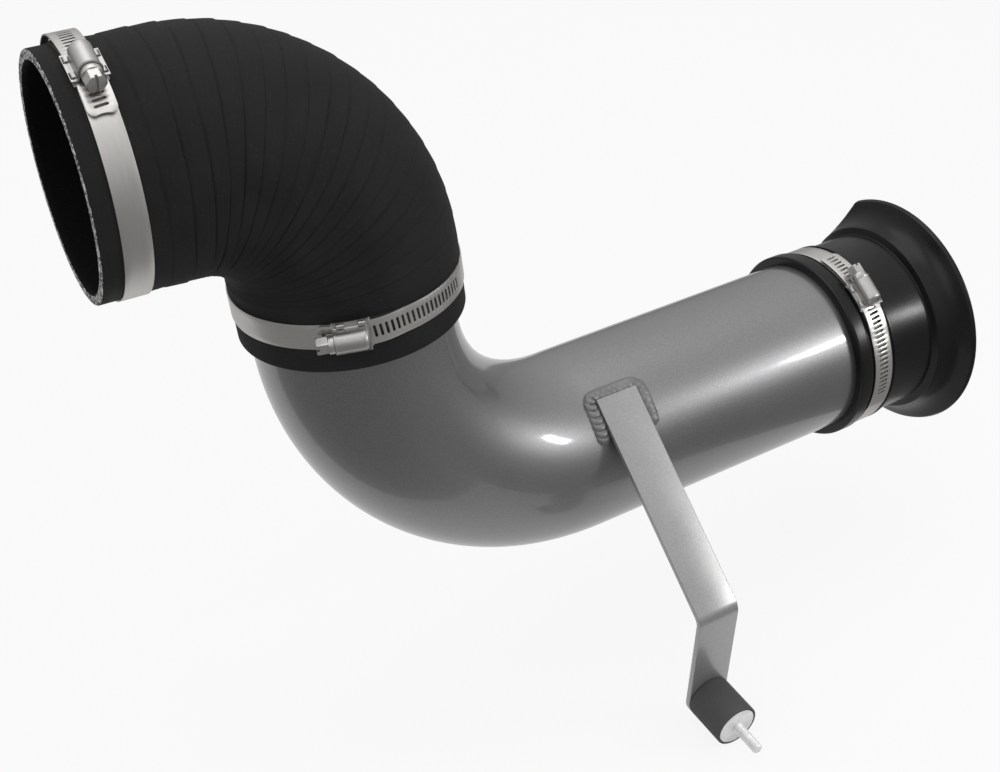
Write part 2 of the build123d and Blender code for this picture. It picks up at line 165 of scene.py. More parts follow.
# Ripples of the bead: crests between narrow grooves, at full height on the first side and
# at bead_streak_share of it past the first corner
bead_ripple_pitch = 3.7
bead_ripple_height = 1.3
bead_ripple_bow = 3.4
bead_ripple_middle = 0.75
bead_groove_share = 0.28
bead_groove_power = 0.6
bead_pitch_noise = 0.5
bead_pitch_noise_scale = 0.3
bead_pitch_noise_row = 3.1
bead_wobble = 0.25
bead_wobble_scale = 0.22
bead_wobble_row = 7.7
bead_streak_share = 0.25
bead_streak_lead = 1.0
bead_streak_length = 4.0

# Isolator
isolator_radius = 12.7
isolator_length = 25.4
isolator_plate_radius = 11.2
isolator_plate_thickness = 1.6
isolator_facets = 96
stud_radius = 3.0
stud_thread_pitch = 1.0
stud_thread_depth = 0.5
stud_facets = 56
outer_stud_length = 18.0
inner_stud_length = 12.0
washer_radius = 7.0
washer_thickness = 1.6
washer_facets = 64
nut_flats = 10.0
nut_height = 5.0
nut_countersink = 0.5

# Threads: they start past the root, have thread_steps rings to a pitch and a chamfered tip
thread_start = 0.5
thread_steps = 8
thread_fullness = 0.8
thread_chamfer = 0.9
root_flare = 1.35
root_height = 0.35
plate_edge = 0.3

# Hexagons: chamfers as (share of the flats from the end, share of the corner's radius),
# and a head's dome as (rise in millimetres, share of the corner's radius)
hexagon_facets = 96
hexagon_base = ((0, 0.93), (0.035, 0.985), (0.08, 1.0))
hexagon_top = ((0.1, 1.0), (0.05, 0.975), (0.015, 0.93), (0, 0.84))
hexagon_dome = ((0.12, 0.7), (0.2, 0.45))
hexagon_corner = 0.985
bore_chamfer = 1.18

# Worm-drive clamps. A trim is how much thinner a sheet is drawn, so that layers stay apart.
clamp_gap = 0.1
band_width = 12.7
band_half = band_width / 2
band_thickness = 0.65
band_lap = 8.0
band_bevel = 0.14
band_plain_steps = 150
liner_thickness = 0.3
liner_lead = 73.0
liner_tail = 12.0
liner_step = 1.5
liner_steps = 48
liner_map_step = 2.0
liner_bevel = 0.08
liner_trim = 0.04
raised_length = 21.0
ramp_margin = radians(0.5)
lift_skew = 0.75
saddle_thickness = 0.8
saddle_length = 17.4
saddle_steps = 16
saddle_bevel = 0.15
saddle_trim = 0.06
tab_gap = 0.25
tab_length = 3.4
tab_spacing = 10.0
tab_fold = 1.2
tab_edge_inset = 0.12
tab_edge_share = 0.92
tab_rest = 0.03
housing_length = 17.0
housing_gap = 0.1
window_gap = 0.4
housing_wall = 0.8
housing_width = 16.6
housing_side_inset = 0.25
housing_bevel = 0.16
housing_trim = 0.05
dome_radius = 4.3
dome_foot = 0.9
dome_rear = 3.2
dome_rear_start = 0.6
dome_rear_width = 0.25
dome_lip = 0.35
dome_lip_start = 1.2
dome_lip_length = 1.1
# Rows of the housing's sheet along the screw: shares of dome_rear, and insets from its ends
dome_rear_rows = (0.26, 0.36, 0.48, 0.6, 0.72, 0.86, 1.0)
housing_rear_row = 0.7
housing_front_rows = (dome_lip_start, 0.5, 0.1)
row_tolerance = 0.01
worm_radius = 4.0
worm_gap = 0.2
worm_inset = 1.5
worm_end_gap = 0.6
worm_thread_depth = 0.7
worm_facets = 48
collar_radius = 4.6
collar_thickness = 2.8
collar_facets = 64
head_flats = 7.94
head_length = 5.6
head_dome = 0.24
head_dome_middle = 0.05
head_slot_width = 1.2
head_slot_depth = 1.6
head_slot_spare = 0.01

# Slots of the band: each lies in a cell of its own between fixed levels across the band
slot_pitch = 2.9
slot_length = 6.2
slot_width = 1.35
slot_slant = radians(6.0)
slot_end_margin = 4.0
slot_side = 2.75
slot_corner = 0.3
slot_crown = 0.05
slots_past_housing = 21
cell_inner = 1.1
cell_outer = 3.3
band_levels = (-band_half, -cell_outer, -cell_inner, cell_inner, cell_outer, band_half)
tail_corner = 3.0
tail_notch = 0.6
tail_steps = 6

# Heights over a clamp's seat, worked out from its layers
saddle_bottom = liner_thickness + band_thickness
upper_bottom = saddle_bottom + saddle_thickness
upper_top = upper_bottom + band_thickness
flange_bottom = upper_top + housing_gap
flange_top = flange_bottom + housing_wall
worm_axis = upper_top + worm_gap + worm_radius
sheet_base = flange_bottom + housing_wall / 2
sheet_radius = dome_radius + housing_wall / 2
dome_leg = worm_axis - sheet_base
tab_inner = band_half + tab_gap
tab_outer = tab_inner + saddle_thickness

along_x = Vector((1, 0, 0))
along_y = Vector((0, 1, 0))
along_z = Vector((0, 0, 1))


def radial(turn):
    """Unit vector square to the long leg, turned from up towards -Y."""
    return Vector((0, -sin(radians(turn)), cos(radians(turn))))


def eased(share):
    """Smooth step from 0 to 1."""
    share = max(0.0, min(1.0, share))
    return share * share * (3 - 2 * share)


class Place:
    """An origin on the part with three square directions."""

    def __init__(self, origin, x_way, z_way):
        self.origin = origin
        self.z = z_way.normalized()
        self.x = (x_way - self.z * x_way.dot(self.z)).normalized()
        self.y = self.z.cross(self.x)

    def at(self, x, y, z):
        return self.origin + self.x * x + self.y * y + self.z * z

    def round_at(self, radius, turn, z):
        return self.at(radius * cos(turn), radius * sin(turn), z)

    def ring(self, radius, z, facets):
        return [self.round_at(radius, 2 * pi * facet / facets, z) for facet in range(facets)]

    def raised(self, z):
        return Place(self.origin + self.z * z, self.x, self.z)


class BentPath:
    """Centre line of a straight leg, a bend and a second straight leg."""

    def __init__(self, start, way, side, first_leg, radius, angle, last_leg):
        self.way = way
        self.side = side
        self.first_leg = first_leg
        self.radius = radius
        self.arc = radius * angle
        self.length = first_leg + self.arc + last_leg
        self.centre = start + way * first_leg + side * radius

    def place(self, distance):
        """Place square to the path, this far along it, its x along the bend's axis."""
        in_bend = max(0.0, min(distance - self.first_leg, self.arc))
        turned = in_bend / self.radius
        spoke = self.way * sin(turned) - self.side * cos(turned)
        heading = self.way * cos(turned) + self.side * sin(turned)
        straight = distance - self.first_leg - in_bend
        origin = self.centre + spoke * self.radius + heading * straight
        return Place(origin, self.way.cross(self.side), heading)


# The duct's centre line: the tube from the adapter back, then the hose to its mouth
tube_path = BentPath(along_x * -adapter_stop_length, -along_x, along_z, tube_long_leg,
                     tube_bend_radius, tube_bend_angle, tube_short_leg)
tube_end = tube_path.place(tube_path.length)
hose_side = tube_end.y * cos(hose_clocking) + tube_end.x * sin(hose_clocking)
hose_path = BentPath(tube_path.place(tube_path.length - tube_in_hose).origin, tube_end.z,
                     hose_side, hose_grip_leg, hose_bend_radius, hose_bend_angle, hose_mouth_leg)
adapter_collar_edge = -adapter_stop_length - adapter_grip_length


def rounded(corners, closed=True, step=radians(12)):
    """Outline through corners (x, y, radius), each corner turned into an arc."""
    count = len(corners)
    points = []
    for index, (x, y, radius) in enumerate(corners):
        corner = Vector((x, y))
        if radius == 0 or (not closed and index in (0, count - 1)):
            points.append(corner)
            continue
        before = (Vector(corners[index - 1][:2]) - corner).normalized()
        after = (Vector(corners[(index + 1) % count][:2]) - corner).normalized()
        opening = acos(max(-1, min(1, before.dot(after))))
        centre = corner + (before + after).normalized() * (radius / sin(opening / 2))
        start = corner + before * (radius / tan(opening / 2)) - centre
        sweep = pi - opening
        side = 1 if before.x * after.y - before.y * after.x < 0 else -1
        pieces = max(2, ceil(sweep / step))
        for piece in range(pieces + 1):
            turn = side * sweep * piece / pieces
            points.append(centre + Matrix.Rotation(turn, 2) @ start)
    return points


def rounded_end(radius, rounding):
    """Outer corner of a duct's end, as (distance in from the end, radius)."""
    middle = rounding * rim_corner
    return [(0, radius - rounding), (middle, radius - middle), (rounding, radius)]


def grid_faces(rows, columns, round_rows=False, round_columns=True):
    """Quads that join a grid of points, row by row."""
    faces = []
    for row in range(rows if round_rows else rows - 1):
        for column in range(columns if round_columns else columns - 1):
            beside = (column + 1) % columns
            above = (row + 1) % rows
            faces.append((row * columns + column, row * columns + beside,
                          above * columns + beside, above * columns + column))
    return faces


def end_faces(count, points):
    """Faces that close the first and the last ring of some points."""
    return [tuple(range(count)), tuple(range(len(points) - count, len(points)))]


def new_mesh(name, points, faces):
    """Mesh from points in millimetres."""
    mesh = bpy.data.meshes.new(name)
    mesh.from_pydata([point * MM for point in points], [], faces)
    return mesh


def faced_outwards(mesh, merge=False):
    """Turn a mesh's faces outwards, after joining points that fall together if asked."""
    shape = bmesh.new()
    shape.from_mesh(mesh)
    if merge:
        bmesh.ops.remove_doubles(shape, verts=shape.verts, dist=merge_distance)
    bmesh.ops.recalc_face_normals(shape, faces=shape.faces)
    shape.to_mesh(mesh)
    shape.free()


def linked(name, data):
    """New object in the scene."""
    made = bpy.data.objects.new(name, data)
    bpy.context.collection.objects.link(made)
    return made


def new_piece(name, points, faces, finishes, slot, replaced=(), sharp=40, solid=0, bevel=0,
              bevel_angle=40, holes=(), finish_of_face=None, flat_map=None):
    """Make a piece and hang it on the part. solid is the thickness of a sheet, bevel the width
    of the rounding on its edges and holes the cutters; angles are in degrees."""
    mesh = new_mesh(name, points, faces)
    if flat_map:
        layer = mesh.uv_layers.new(name="flat")
        for loop in mesh.loops:
            layer.data[loop.index].uv = flat_map[loop.vertex_index]
    for finish in finishes:
        mesh.materials.append(finish)
    if finish_of_face:
        for polygon in mesh.polygons:
            polygon.material_index = finish_of_face(polygon.index)
    faced_outwards(mesh, merge=True)
    made = linked(name, mesh)
    if solid:
        thicken = made.modifiers.new("thickness", "SOLIDIFY")
        thicken.thickness = solid * MM
        thicken.offset = 0
        thicken.use_even_offset = True
    for hole in holes:
        cut = made.modifiers.new("cut", "BOOLEAN")
        cut.operation = "DIFFERENCE"
        cut.solver = "EXACT"
        cut.object = hole
    if bevel:
        rounding = made.modifiers.new("rounding", "BEVEL")
        rounding.width = bevel * MM
        rounding.segments = 2
        rounding.limit_method = "ANGLE"
        rounding.angle_limit = radians(bevel_angle)
        rounding.harden_normals = False
    if made.modifiers:
        finished = bpy.data.meshes.new_from_object(
            made.evaluated_get(bpy.context.evaluated_depsgraph_get()))
        made.modifiers.clear()
        made.data = finished
        finished.name = name
        bpy.data.meshes.remove(mesh)
    made.data.shade_smooth()
    made.data.set_sharp_from_angle(angle=radians(sharp))
    for hole in holes:
        bpy.data.objects.remove(hole)
    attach(made, "root")
    if replaced:
        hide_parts(*replaced)
    return made


def cutter(points, faces):
    """A closed mesh that is cut out of a piece and then removed."""
    mesh = new_mesh("cutter", points, faces)
    faced_outwards(mesh)
    return linked("cutter", mesh)


def block_cutter(place, length, width, height):
    """Cutting block centred on a place."""
    points = [place.at(x * length / 2, y * width / 2, z * height / 2)
              for z in (-1, 1) for y in (-1, 1) for x in (-1, 1)]
    faces = [(0, 1, 3, 2), (4, 6, 7, 5), (0, 4, 5, 1), (2, 3, 7, 6), (0, 2, 6, 4), (1, 5, 7, 3)]
    return cutter(points, faces)


def drill_cutter(place, radius, length, facets=48):
    """Cutting round bar centred on a place, along its z."""
    points = place.ring(radius, -length / 2, facets) + place.ring(radius, length / 2, facets)
    return cutter(points, grid_faces(2, facets) + end_faces(facets, points))


def turned_piece(name, place, outline, finish, slot, facets, closed=True, **options):
    """Turn an outline of (distance along z, radius) about a place's z."""
    points = []
    for distance, radius in outline:
        points += place.ring(max(radius, 0.0), distance, facets)
    faces = grid_faces(len(outline), facets, round_rows=closed)
    return new_piece(name, points, faces, [finish], slot, **options)


# Nodes of the finishes

def feed(tree, node, feeds):
    """Link sockets to a node's inputs, and set plain values on them."""
    for label, value in feeds.items():
        if isinstance(value, bpy.types.NodeSocket):
            tree.links.new(value, node.inputs[label])
        else:
            node.inputs[label].default_value = value


def new_node(tree, kind, feeds=None, **settings):
    """New node with its properties set and its inputs fed."""
    node = tree.nodes.new(kind)
    for label, value in settings.items():
        setattr(node, label, value)
    feed(tree, node, feeds or {})
    return node


def calculated(tree, operation, *values):
    """Result of a maths step on sockets or plain numbers."""
    feeds = dict(enumerate(values))
    return new_node(tree, "ShaderNodeMath", feeds, operation=operation).outputs["Value"]


def opaque(tone):
    """A tone with its alpha. A single number is a grey."""
    return (*tone, 1) if isinstance(tone, tuple) else (tone, tone, tone, 1)


def blended(tree, mask, dark, light, low=0.3, high=0.7):
    """Colour ramp between two tones, driven by a mask."""
    ramp = new_node(tree, "ShaderNodeValToRGB", {"Fac": mask})
    for element, position, tone in zip(ramp.color_ramp.elements, (low, high), (dark, light)):
        element.position = position
        element.color = opaque(tone)
    return ramp.outputs["Color"]


def over(tree, mask, under, above):
    """Lay one colour over another where the mask is white."""
    mix = new_node(tree, "ShaderNodeMix", {"Factor": mask}, data_type="RGBA")
    colours = [each for each in mix.inputs if each.type == "RGBA"]
    for socket, colour in zip(colours, (under, above)):
        if isinstance(colour, bpy.types.NodeSocket):
            tree.links.new(colour, socket)
        else:
            socket.default_value = opaque(colour)
    return [each for each in mix.outputs if each.type == "RGBA"][0]


def bumped(tree, node, height, distance, strength):
    """Feed a height into the normal of a shader or of another bump."""
    bump = new_node(tree, "ShaderNodeBump",
                    {"Height": height, "Distance": distance, "Strength": strength})
    tree.links.new(bump.outputs["Normal"], node.inputs["Normal"])


# Shader node groups shared by several finishes

def new_group(name, inputs, outputs):
    """Empty shader node group with its inputs' first values and its outputs' names."""
    group = bpy.data.node_groups.new(name, "ShaderNodeTree")
    for label, start in inputs.items():
        socket = group.interface.new_socket(label, in_out="INPUT", socket_type="NodeSocketFloat")
        socket.default_value = start
    for label in outputs:
        group.interface.new_socket(label, in_out="OUTPUT", socket_type="NodeSocketFloat")
    given = group.nodes.new("NodeGroupInput").outputs
    return group, given, group.nodes.new("NodeGroupOutput")


def make_grain_group():
    """Fine noise and slow clouds: a mask for colour, a roughness and a height."""
    group, given, result = new_group(
        "surface_grain",
        {"Grain Scale": 900.0, "Cloud Scale": 14.0, "Rough Low": 0.3, "Rough High": 0.5},
        ("Clouds", "Roughness", "Height"))
    place = new_node(group, "ShaderNodeTexCoord").outputs["Object"]
    grain = new_node(group, "ShaderNodeTexNoise",
                     {"Vector": place, "Scale": given["Grain Scale"], "Detail": 3.0})
    clouds = new_node(group, "ShaderNodeTexNoise",
                      {"Vector": place, "Scale": given["Cloud Scale"], "Detail": 4.0})
    spread = new_node(group, "ShaderNodeMapRange",
                      {"Value": clouds.outputs["Fac"], "From Min": 0.3, "From Max": 0.7,
                       "To Min": given["Rough Low"], "To Max": given["Rough High"]})
    feed(group, result, {"Clouds": clouds.outputs["Fac"], "Roughness": spread.outputs["Result"],
                         "Height": grain.outputs["Fac"]})
    return group


def make_flake_group():
    """Small cells of paint flake or dust: a mask of how bright each one is."""
    group, given, result = new_group(
        "flake_specks", {"Speck Scale": 1800.0, "Threshold": 0.7, "Softness": 0.15}, ("Mask",))
    place = new_node(group, "ShaderNodeTexCoord").outputs["Object"]
    cells = new_node(group, "ShaderNodeTexVoronoi",
                     {"Vector": place, "Scale": given["Speck Scale"]})
    tone = new_node(group, "ShaderNodeSeparateColor", {"Color": cells.outputs["Color"]})
    above = calculated(group, "ADD", given["Threshold"], given["Softness"])
    cut = new_node(group, "ShaderNodeMapRange",
                   {"Value": tone.outputs["Red"], "From Min": given["Threshold"],
                    "From Max": above})
    feed(group, result, {"Mask": cut.outputs["Result"]})
    return group


def make_brushed_group():
    """Fine lines that run along a strip, laid on its flat map."""
    group, given, result = new_group(
        "brushed_lines", {"Line Scale": 6.0, "Stretch": 0.02}, ("Lines",))
    place = new_node(group, "ShaderNodeTexCoord").outputs["UV"]
    sizes = new_node(group, "ShaderNodeCombineXYZ", {"X": given["Stretch"], "Y": 1.0, "Z": 1.0})
    squeeze = new_node(group, "ShaderNodeMapping",
                       {"Vector": place, "Scale": sizes.outputs["Vector"]})
    lines = new_node(group, "ShaderNodeTexNoise",
                     {"Vector": squeeze.outputs["Vector"], "Scale": given["Line Scale"],
                      "Detail": 5.0})
    feed(group, result, {"Lines": lines.outputs["Fac"]})
    return group


grain_group = make_grain_group()
flake_group = make_flake_group()
brushed_group = make_brushed_group()


def grain_in(tree, grain_scale, cloud_scale, rough):
    """Outputs of the grain group in a material, with its own values."""
    feeds = {"Grain Scale": grain_scale, "Cloud Scale": cloud_scale, "Rough Low": rough[0],
             "Rough High": rough[1]}
    return new_node(tree, "ShaderNodeGroup", feeds, node_tree=grain_group).outputs


def specks_in(tree, scale, threshold, softness):
    """Mask of the flake group in a material, with its own values."""
    feeds = {"Speck Scale": scale, "Threshold": threshold, "Softness": softness}
    return new_node(tree, "ShaderNodeGroup", feeds, node_tree=flake_group).outputs["Mask"]


def lines_in(tree, scale, stretch):
    """Lines of the brushed group in a material, with its own values."""
    feeds = {"Line Scale": scale, "Stretch": stretch}
    return new_node(tree, "ShaderNodeGroup", feeds, node_tree=brushed_group).outputs["Lines"]


def new_finish(name):
    """Empty material, its tree and its Principled shader."""
    material = bpy.data.materials.new(name)
    material.use_nodes = True
    tree = material.node_tree
    return material, tree, tree.nodes["Principled BSDF"]


def clouded(name, scales, rough, tones, bump=None, flake=None, plain=None):
    """Material with clouded tones and roughness, specks over it and a fine bump.

    scales are the grain's and the clouds', rough and tones each a low and a high, bump a
    height in metres and its strength, flake the specks' scale, threshold, softness and tone,
    and plain what is the same all over the surface."""
    material, tree, shader = new_finish(name)
    grain = grain_in(tree, *scales, rough)
    colour = blended(tree, grain["Clouds"], *tones)
    if flake:
        *spread, speck_tone = flake
        colour = over(tree, specks_in(tree, *spread), colour, speck_tone)
    feed(tree, shader, {"Base Color": colour, "Roughness": grain["Roughness"]})
    feed(tree, shader, plain or {})
    if bump:
        bumped(tree, shader, grain["Height"], *bump)
    return material


def gunmetal_paint():
    """Metallic grey paint under a clear coat, with fine flake."""
    return clouded("gunmetal_paint", (3600.0, 9.0), rough=(0.40, 0.45),
                   tones=((0.195, 0.195, 0.197), (0.22, 0.22, 0.223)), bump=(0.00001, 0.25),
                   flake=(5200.0, 0.55, 0.45, (0.30, 0.30, 0.304)),
                   plain={"Metallic": 0.92, "Coat Weight": 1.0, "Coat Roughness": 0.095})


def bracket_paint():
    """The same grey on the flat bar: finer gloss, more grain."""
    return clouded("bracket_paint", (1500.0, 30.0), rough=(0.31, 0.39),
                   tones=((0.29, 0.29, 0.288), (0.33, 0.33, 0.328)), bump=(0.00002, 0.3),
                   flake=(3600.0, 0.5, 0.5, (0.40, 0.40, 0.397)),
                   plain={"Metallic": 0.62, "Coat Weight": 0.8, "Coat Roughness": 0.08})


def weld_metal():
    """Painted weld bead, a little darker and rougher than the tube."""
    return clouded("weld_metal", (1100.0, 120.0), rough=(0.5, 0.62),
                   tones=((0.17, 0.17, 0.172), (0.24, 0.24, 0.242)), bump=(0.00008, 0.6),
                   plain={"Metallic": 0.7, "Coat Weight": 0.25, "Coat Roughness": 0.3})


def wrapped_rubber():
    """Matte black wrapped rubber with fine cloth marks and pale specks."""
    material = clouded("wrapped_rubber", (1300.0, 38.0), rough=(0.62, 0.82),
                       tones=(0.010, 0.018), bump=(0.00012, 0.55),
                       flake=(1900.0, 0.975, 0.03, 0.028), plain={"Specular IOR Level": 0.18})
    tree = material.node_tree
    bumped(tree, tree.nodes["Bump"], lines_in(tree, 1.4, 0.012), 0.0005, 0.7)
    return material


def cut_rubber():
    """Cut end of the elbow: pale thread ends flecked over dark rubber."""
    return clouded("cut_rubber", (1600.0, 260.0), rough=(0.6, 0.85),
                   tones=(0.015, (0.06, 0.06, 0.059)), bump=(0.0003, 0.8),
                   flake=(1150.0, 0.5, 0.25, (0.62, 0.62, 0.60)))


def moulded_rubber(name, tones, rough, shine):
    """Moulded rubber with a low sheen and a few pale specks."""
    return clouded(name, (1900.0, 26.0), rough, tones, bump=(0.00005, 0.4),
                   flake=(1900.0, 0.985, 0.02, 0.025), plain={"Specular IOR Level": shine})


def stainless(name, tones, rough):
    """Steel strip with brushed lines along it."""
    material, tree, shader = new_finish(name)
    grain = grain_in(tree, 1400.0, 42.0, rough)
    lines = lines_in(tree, 5.0, 0.015)
    feed(tree, shader, {"Base Color": blended(tree, lines, *tones, 0.25, 0.75),
                        "Roughness": grain["Roughness"], "Metallic": 1.0})
    bumped(tree, shader, lines, 0.00003, 0.4)
    return material


def zinc_plate(name, tones, rough, metal):
    """Plated steel with a faint cloudy tone."""
    return clouded(name, (1700.0, 150.0), rough, tones, bump=(0.00003, 0.4),
                   plain={"Metallic": metal})


tube_finish = gunmetal_paint()
bracket_finish = bracket_paint()
weld_finish = weld_metal()
hose_finish = wrapped_rubber()
hose_cut_finish = cut_rubber()
hose_bore_finish = moulded_rubber("bore_rubber", (0.003, 0.005), (0.7, 0.85), 0.08)
adapter_finish = moulded_rubber("moulded_rubber", (0.004, 0.008), (0.24, 0.32), 0.26)
isolator_finish = moulded_rubber("isolator_rubber", (0.058, 0.074), (0.6, 0.75), 0.3)
band_finish = stainless("band_steel", ((0.55, 0.535, 0.515), (0.66, 0.645, 0.625)), (0.34, 0.44))
# Painted shade: the liner is the same bright steel as the band, but its tones are drawn near black
# so that the slots over it look shaded.
liner_painted_shade_finish = stainless("liner_steel", ((0.09, 0.088, 0.086), (0.13, 0.128, 0.126)),
                         (0.45, 0.55))
housing_finish = stainless("housing_steel", ((0.44, 0.43, 0.42), (0.54, 0.53, 0.52)),
                           (0.36, 0.46))
screw_finish = zinc_plate("screw_zinc", ((0.46, 0.455, 0.44), (0.62, 0.615, 0.60)),
                          (0.28, 0.42), 0.95)
zinc_finish = zinc_plate("bright_zinc", ((0.74, 0.75, 0.745), (0.90, 0.905, 0.90)),
                         (0.34, 0.46), 0.55)


def make_tube():
    """Bent tube: outer skin, rounded rims and inner skin as one closed shell."""
    length = tube_path.length
    stations = [tube_long_leg * step / tube_leg_steps for step in range(1, tube_leg_steps + 1)]
    stations += [tube_long_leg + tube_path.arc * step / tube_bend_steps
                 for step in range(1, tube_bend_steps + 1)]
    stations += [length - tube_short_leg * (1 - step / tube_end_steps)
                 for step in range(1, tube_end_steps)]
    inner_radius = tube_radius - tube_wall
    rim = [(0, inner_radius + tube_rim_round)] + rounded_end(tube_radius, tube_rim_round)
    rows = rim + [(distance, tube_radius) for distance in stations]
    rows += [(length - distance, radius) for distance, radius in reversed(rim)]
    rows += [(distance, inner_radius) for distance in reversed(stations)]
    points = []
    for distance, radius in rows:
        points += tube_path.place(distance).ring(radius, 0, tube_facets)
    return new_piece("tube_skin", points, grid_faces(len(rows), tube_facets, round_rows=True),
                     [tube_finish], "tube_paint", ["intake_tube"], sharp=50)


# The wraps lie at their pitch along the bend's outer side
hose_outer_growth = (hose_bend_radius + hose_radius) / hose_bend_radius
wrapped_grip = hose_grip_leg - wrap_plain_grip
wrapped_bend = hose_path.arc * hose_outer_growth
wraps = int((wrapped_grip + wrapped_bend + hose_mouth_leg - wrap_plain_mouth) / wrap_pitch)


def wrap_distance(turns):
    """Distance along the hose at which this many wraps have been laid on its outer side."""
    laid = turns * wrap_pitch
    if laid < wrapped_grip:
        return wrap_plain_grip + laid
    if laid < wrapped_grip + wrapped_bend:
        return hose_grip_leg + (laid - wrapped_grip) / hose_outer_growth
    return hose_grip_leg + hose_path.arc + laid - wrapped_grip - wrapped_bend


def wrapped_spot(turns, turn, height):
    """Distance along the hose and lift of a point of the wraps, uneven as hand-laid ones are."""
    where = Vector((cos(turn) * wrap_noise_round, sin(turn) * wrap_noise_round,
                    int(turns) * wrap_noise_step))
    wander = wrap_wander * noise.noise(where)
    sweep = wrap_sweep * sin(turn + wrap_sweep_start + wrap_sweep_drift * turns)
    edge = min(1, turns / wrap_settle, (wraps - turns) / wrap_settle)
    fade = 1 - wrap_fade * max(0, 1 - turns / wraps) ** wrap_fade_power
    uneven = wrap_lap_low + wrap_lap_noise * noise.noise(where * wrap_lap_noise_scale)
    along = wrap_distance(turns + (wander + sweep) * max(0, edge))
    return along, height * wrap_lap * fade * uneven


def make_hose():
    """Wrapped elbow: each wrap starts proud over the one before it, with a groove at its edge.

    A row is (distance, radius, height), and on the wraps its distance is counted in wraps."""
    length = hose_path.length
    end = rounded_end(hose_radius, hose_rim_round)
    rows = [(distance, radius, None) for distance, radius in end]
    rows += [(wrap_plain_grip * step / hose_plain_steps, hose_radius, None)
             for step in range(1, hose_plain_steps)]
    for wrap in range(wraps):
        rows += [(wrap + part, hose_radius, height) for part, height in wrap_profile]
    last = wrap_distance(wraps)
    rest = length - hose_rim_round - last
    rows += [(last + rest * step / hose_plain_steps, hose_radius, None)
             for step in range(1, hose_plain_steps + 1)]
    rows += [(length - distance, radius, None) for distance, radius in reversed(end[:-1])]
    face_row = len(rows) - 2
    rows += [(length, tube_radius + hose_rim_round, None),
             (length - hose_rim_round, tube_radius, None)]
    bore_row = len(rows) - 2
    rows += [(length * (1 - step / hose_bore_steps), tube_radius, None)
             for step in range(1, hose_bore_steps + 1)]
    points = []
    flat_map = []
    for distance, radius, height in rows:
        for facet in range(hose_facets):
            turn = 2 * pi * facet / hose_facets
            along, lift = distance, 0
            if height is not None:
                along, lift = wrapped_spot(distance, turn, height)
            points.append(hose_path.place(along).round_at(radius + lift, turn, 0))
            flat_map.append((turn * hose_radius, along * hose_map_stretch))

    def finish_of(face):
        row = face // hose_facets
        if face_row <= row < bore_row:
            return 1
        return 2 if row >= bore_row else 0

    return new_piece("hose_skin", points, grid_faces(len(rows), hose_facets, round_rows=True),
                     [hose_finish, hose_cut_finish, hose_bore_finish], "hose_rubber",
                     ["elbow_hose"], sharp=60, finish_of_face=finish_of, flat_map=flat_map)


def make_adapter():
    """Moulded adapter: beaded collar, neck, shoulder and flare, with one side trimmed flat."""
    lip_end = adapter_collar_edge + adapter_lip_width
    ridge_start = adapter_collar_edge + adapter_ridge_inset
    ridge_end = ridge_start + adapter_ridge_width
    shoulder_x, shoulder_radius = adapter_shoulder
    lip_x, lip_line_radius = adapter_lip_line
    rim_x, rim_radius = adapter_rim
    run = lip_x - shoulder_x
    rise = lip_line_radius - shoulder_radius
    drop = adapter_flare_wall * sqrt(run ** 2 + rise ** 2) / run
    rim_inner = shoulder_radius - drop + rise / run * (rim_x - shoulder_x)
    hollow_x = (shoulder_x + lip_x) / 2 + adapter_flare_hollow
    hollow_radius = (shoulder_radius + lip_line_radius) / 2 - adapter_flare_hollow
    outline = rounded([
        (adapter_collar_edge, tube_radius, 0.3),
        (adapter_collar_edge, adapter_lip_radius, 1.5),
        (lip_end, adapter_lip_radius, 1.5),
        (lip_end, adapter_seat_radius, 0.2),
        (ridge_start, adapter_seat_radius, 0.3),
        (ridge_start, adapter_ridge_radius, 0.35),
        (ridge_end, adapter_ridge_radius, 0.5),
        (ridge_end, adapter_neck_radius, 0.5),
        (adapter_neck_end, adapter_neck_radius, 0.7),
        (shoulder_x, shoulder_radius, 1.1),
        (hollow_x, hollow_radius, adapter_flare_curve),
        (lip_x, lip_line_radius, 0.5),
        (rim_x, rim_radius, 0.9),
        (rim_x, rim_inner, 1.2),
        (hollow_x, hollow_radius - drop, adapter_flare_curve),
        (shoulder_x, shoulder_radius - drop, 1.5),
        (0, adapter_bore_radius, 2.0),
        (-adapter_stop_length, adapter_bore_radius, 0.3),
        (-adapter_stop_length, tube_radius, 0.2),
    ])
    trim_way = radial(-adapter_trim_turn)
    trim_middle = adapter_trim_distance + adapter_trim_block[2] / 2
    trim = block_cutter(Place(trim_way * trim_middle, along_x, trim_way), *adapter_trim_block)
    return turned_piece("adapter_skin", Place(Vector((0, 0, 0)), along_y, along_x), outline,
                        adapter_finish, "adapter_rubber", adapter_facets,
                        replaced=["flared_adapter"], sharp=45, holes=[trim], bevel=0.5,
                        bevel_angle=50)


# Bracket geometry, shared by the bar and what it carries
bar_x = -adapter_stop_length - bar_station
bar_out = radial(bar_turn)
arm_way = radial(bar_turn + 90)
leg_way = arm_way * cos(bar_fold_angle) - bar_out * sin(bar_fold_angle)
leg_out = bar_out * cos(bar_fold_angle) + arm_way * sin(bar_fold_angle)
arm_top = along_x * bar_x + bar_out * tube_radius - arm_way * bar_above_tangent
arm_corner_outer = arm_top + arm_way * bar_arm_length + bar_out * bar_thickness
isolator_seat = arm_corner_outer + leg_way * bar_leg_length
leg_place = Place(isolator_seat, along_x, leg_out)


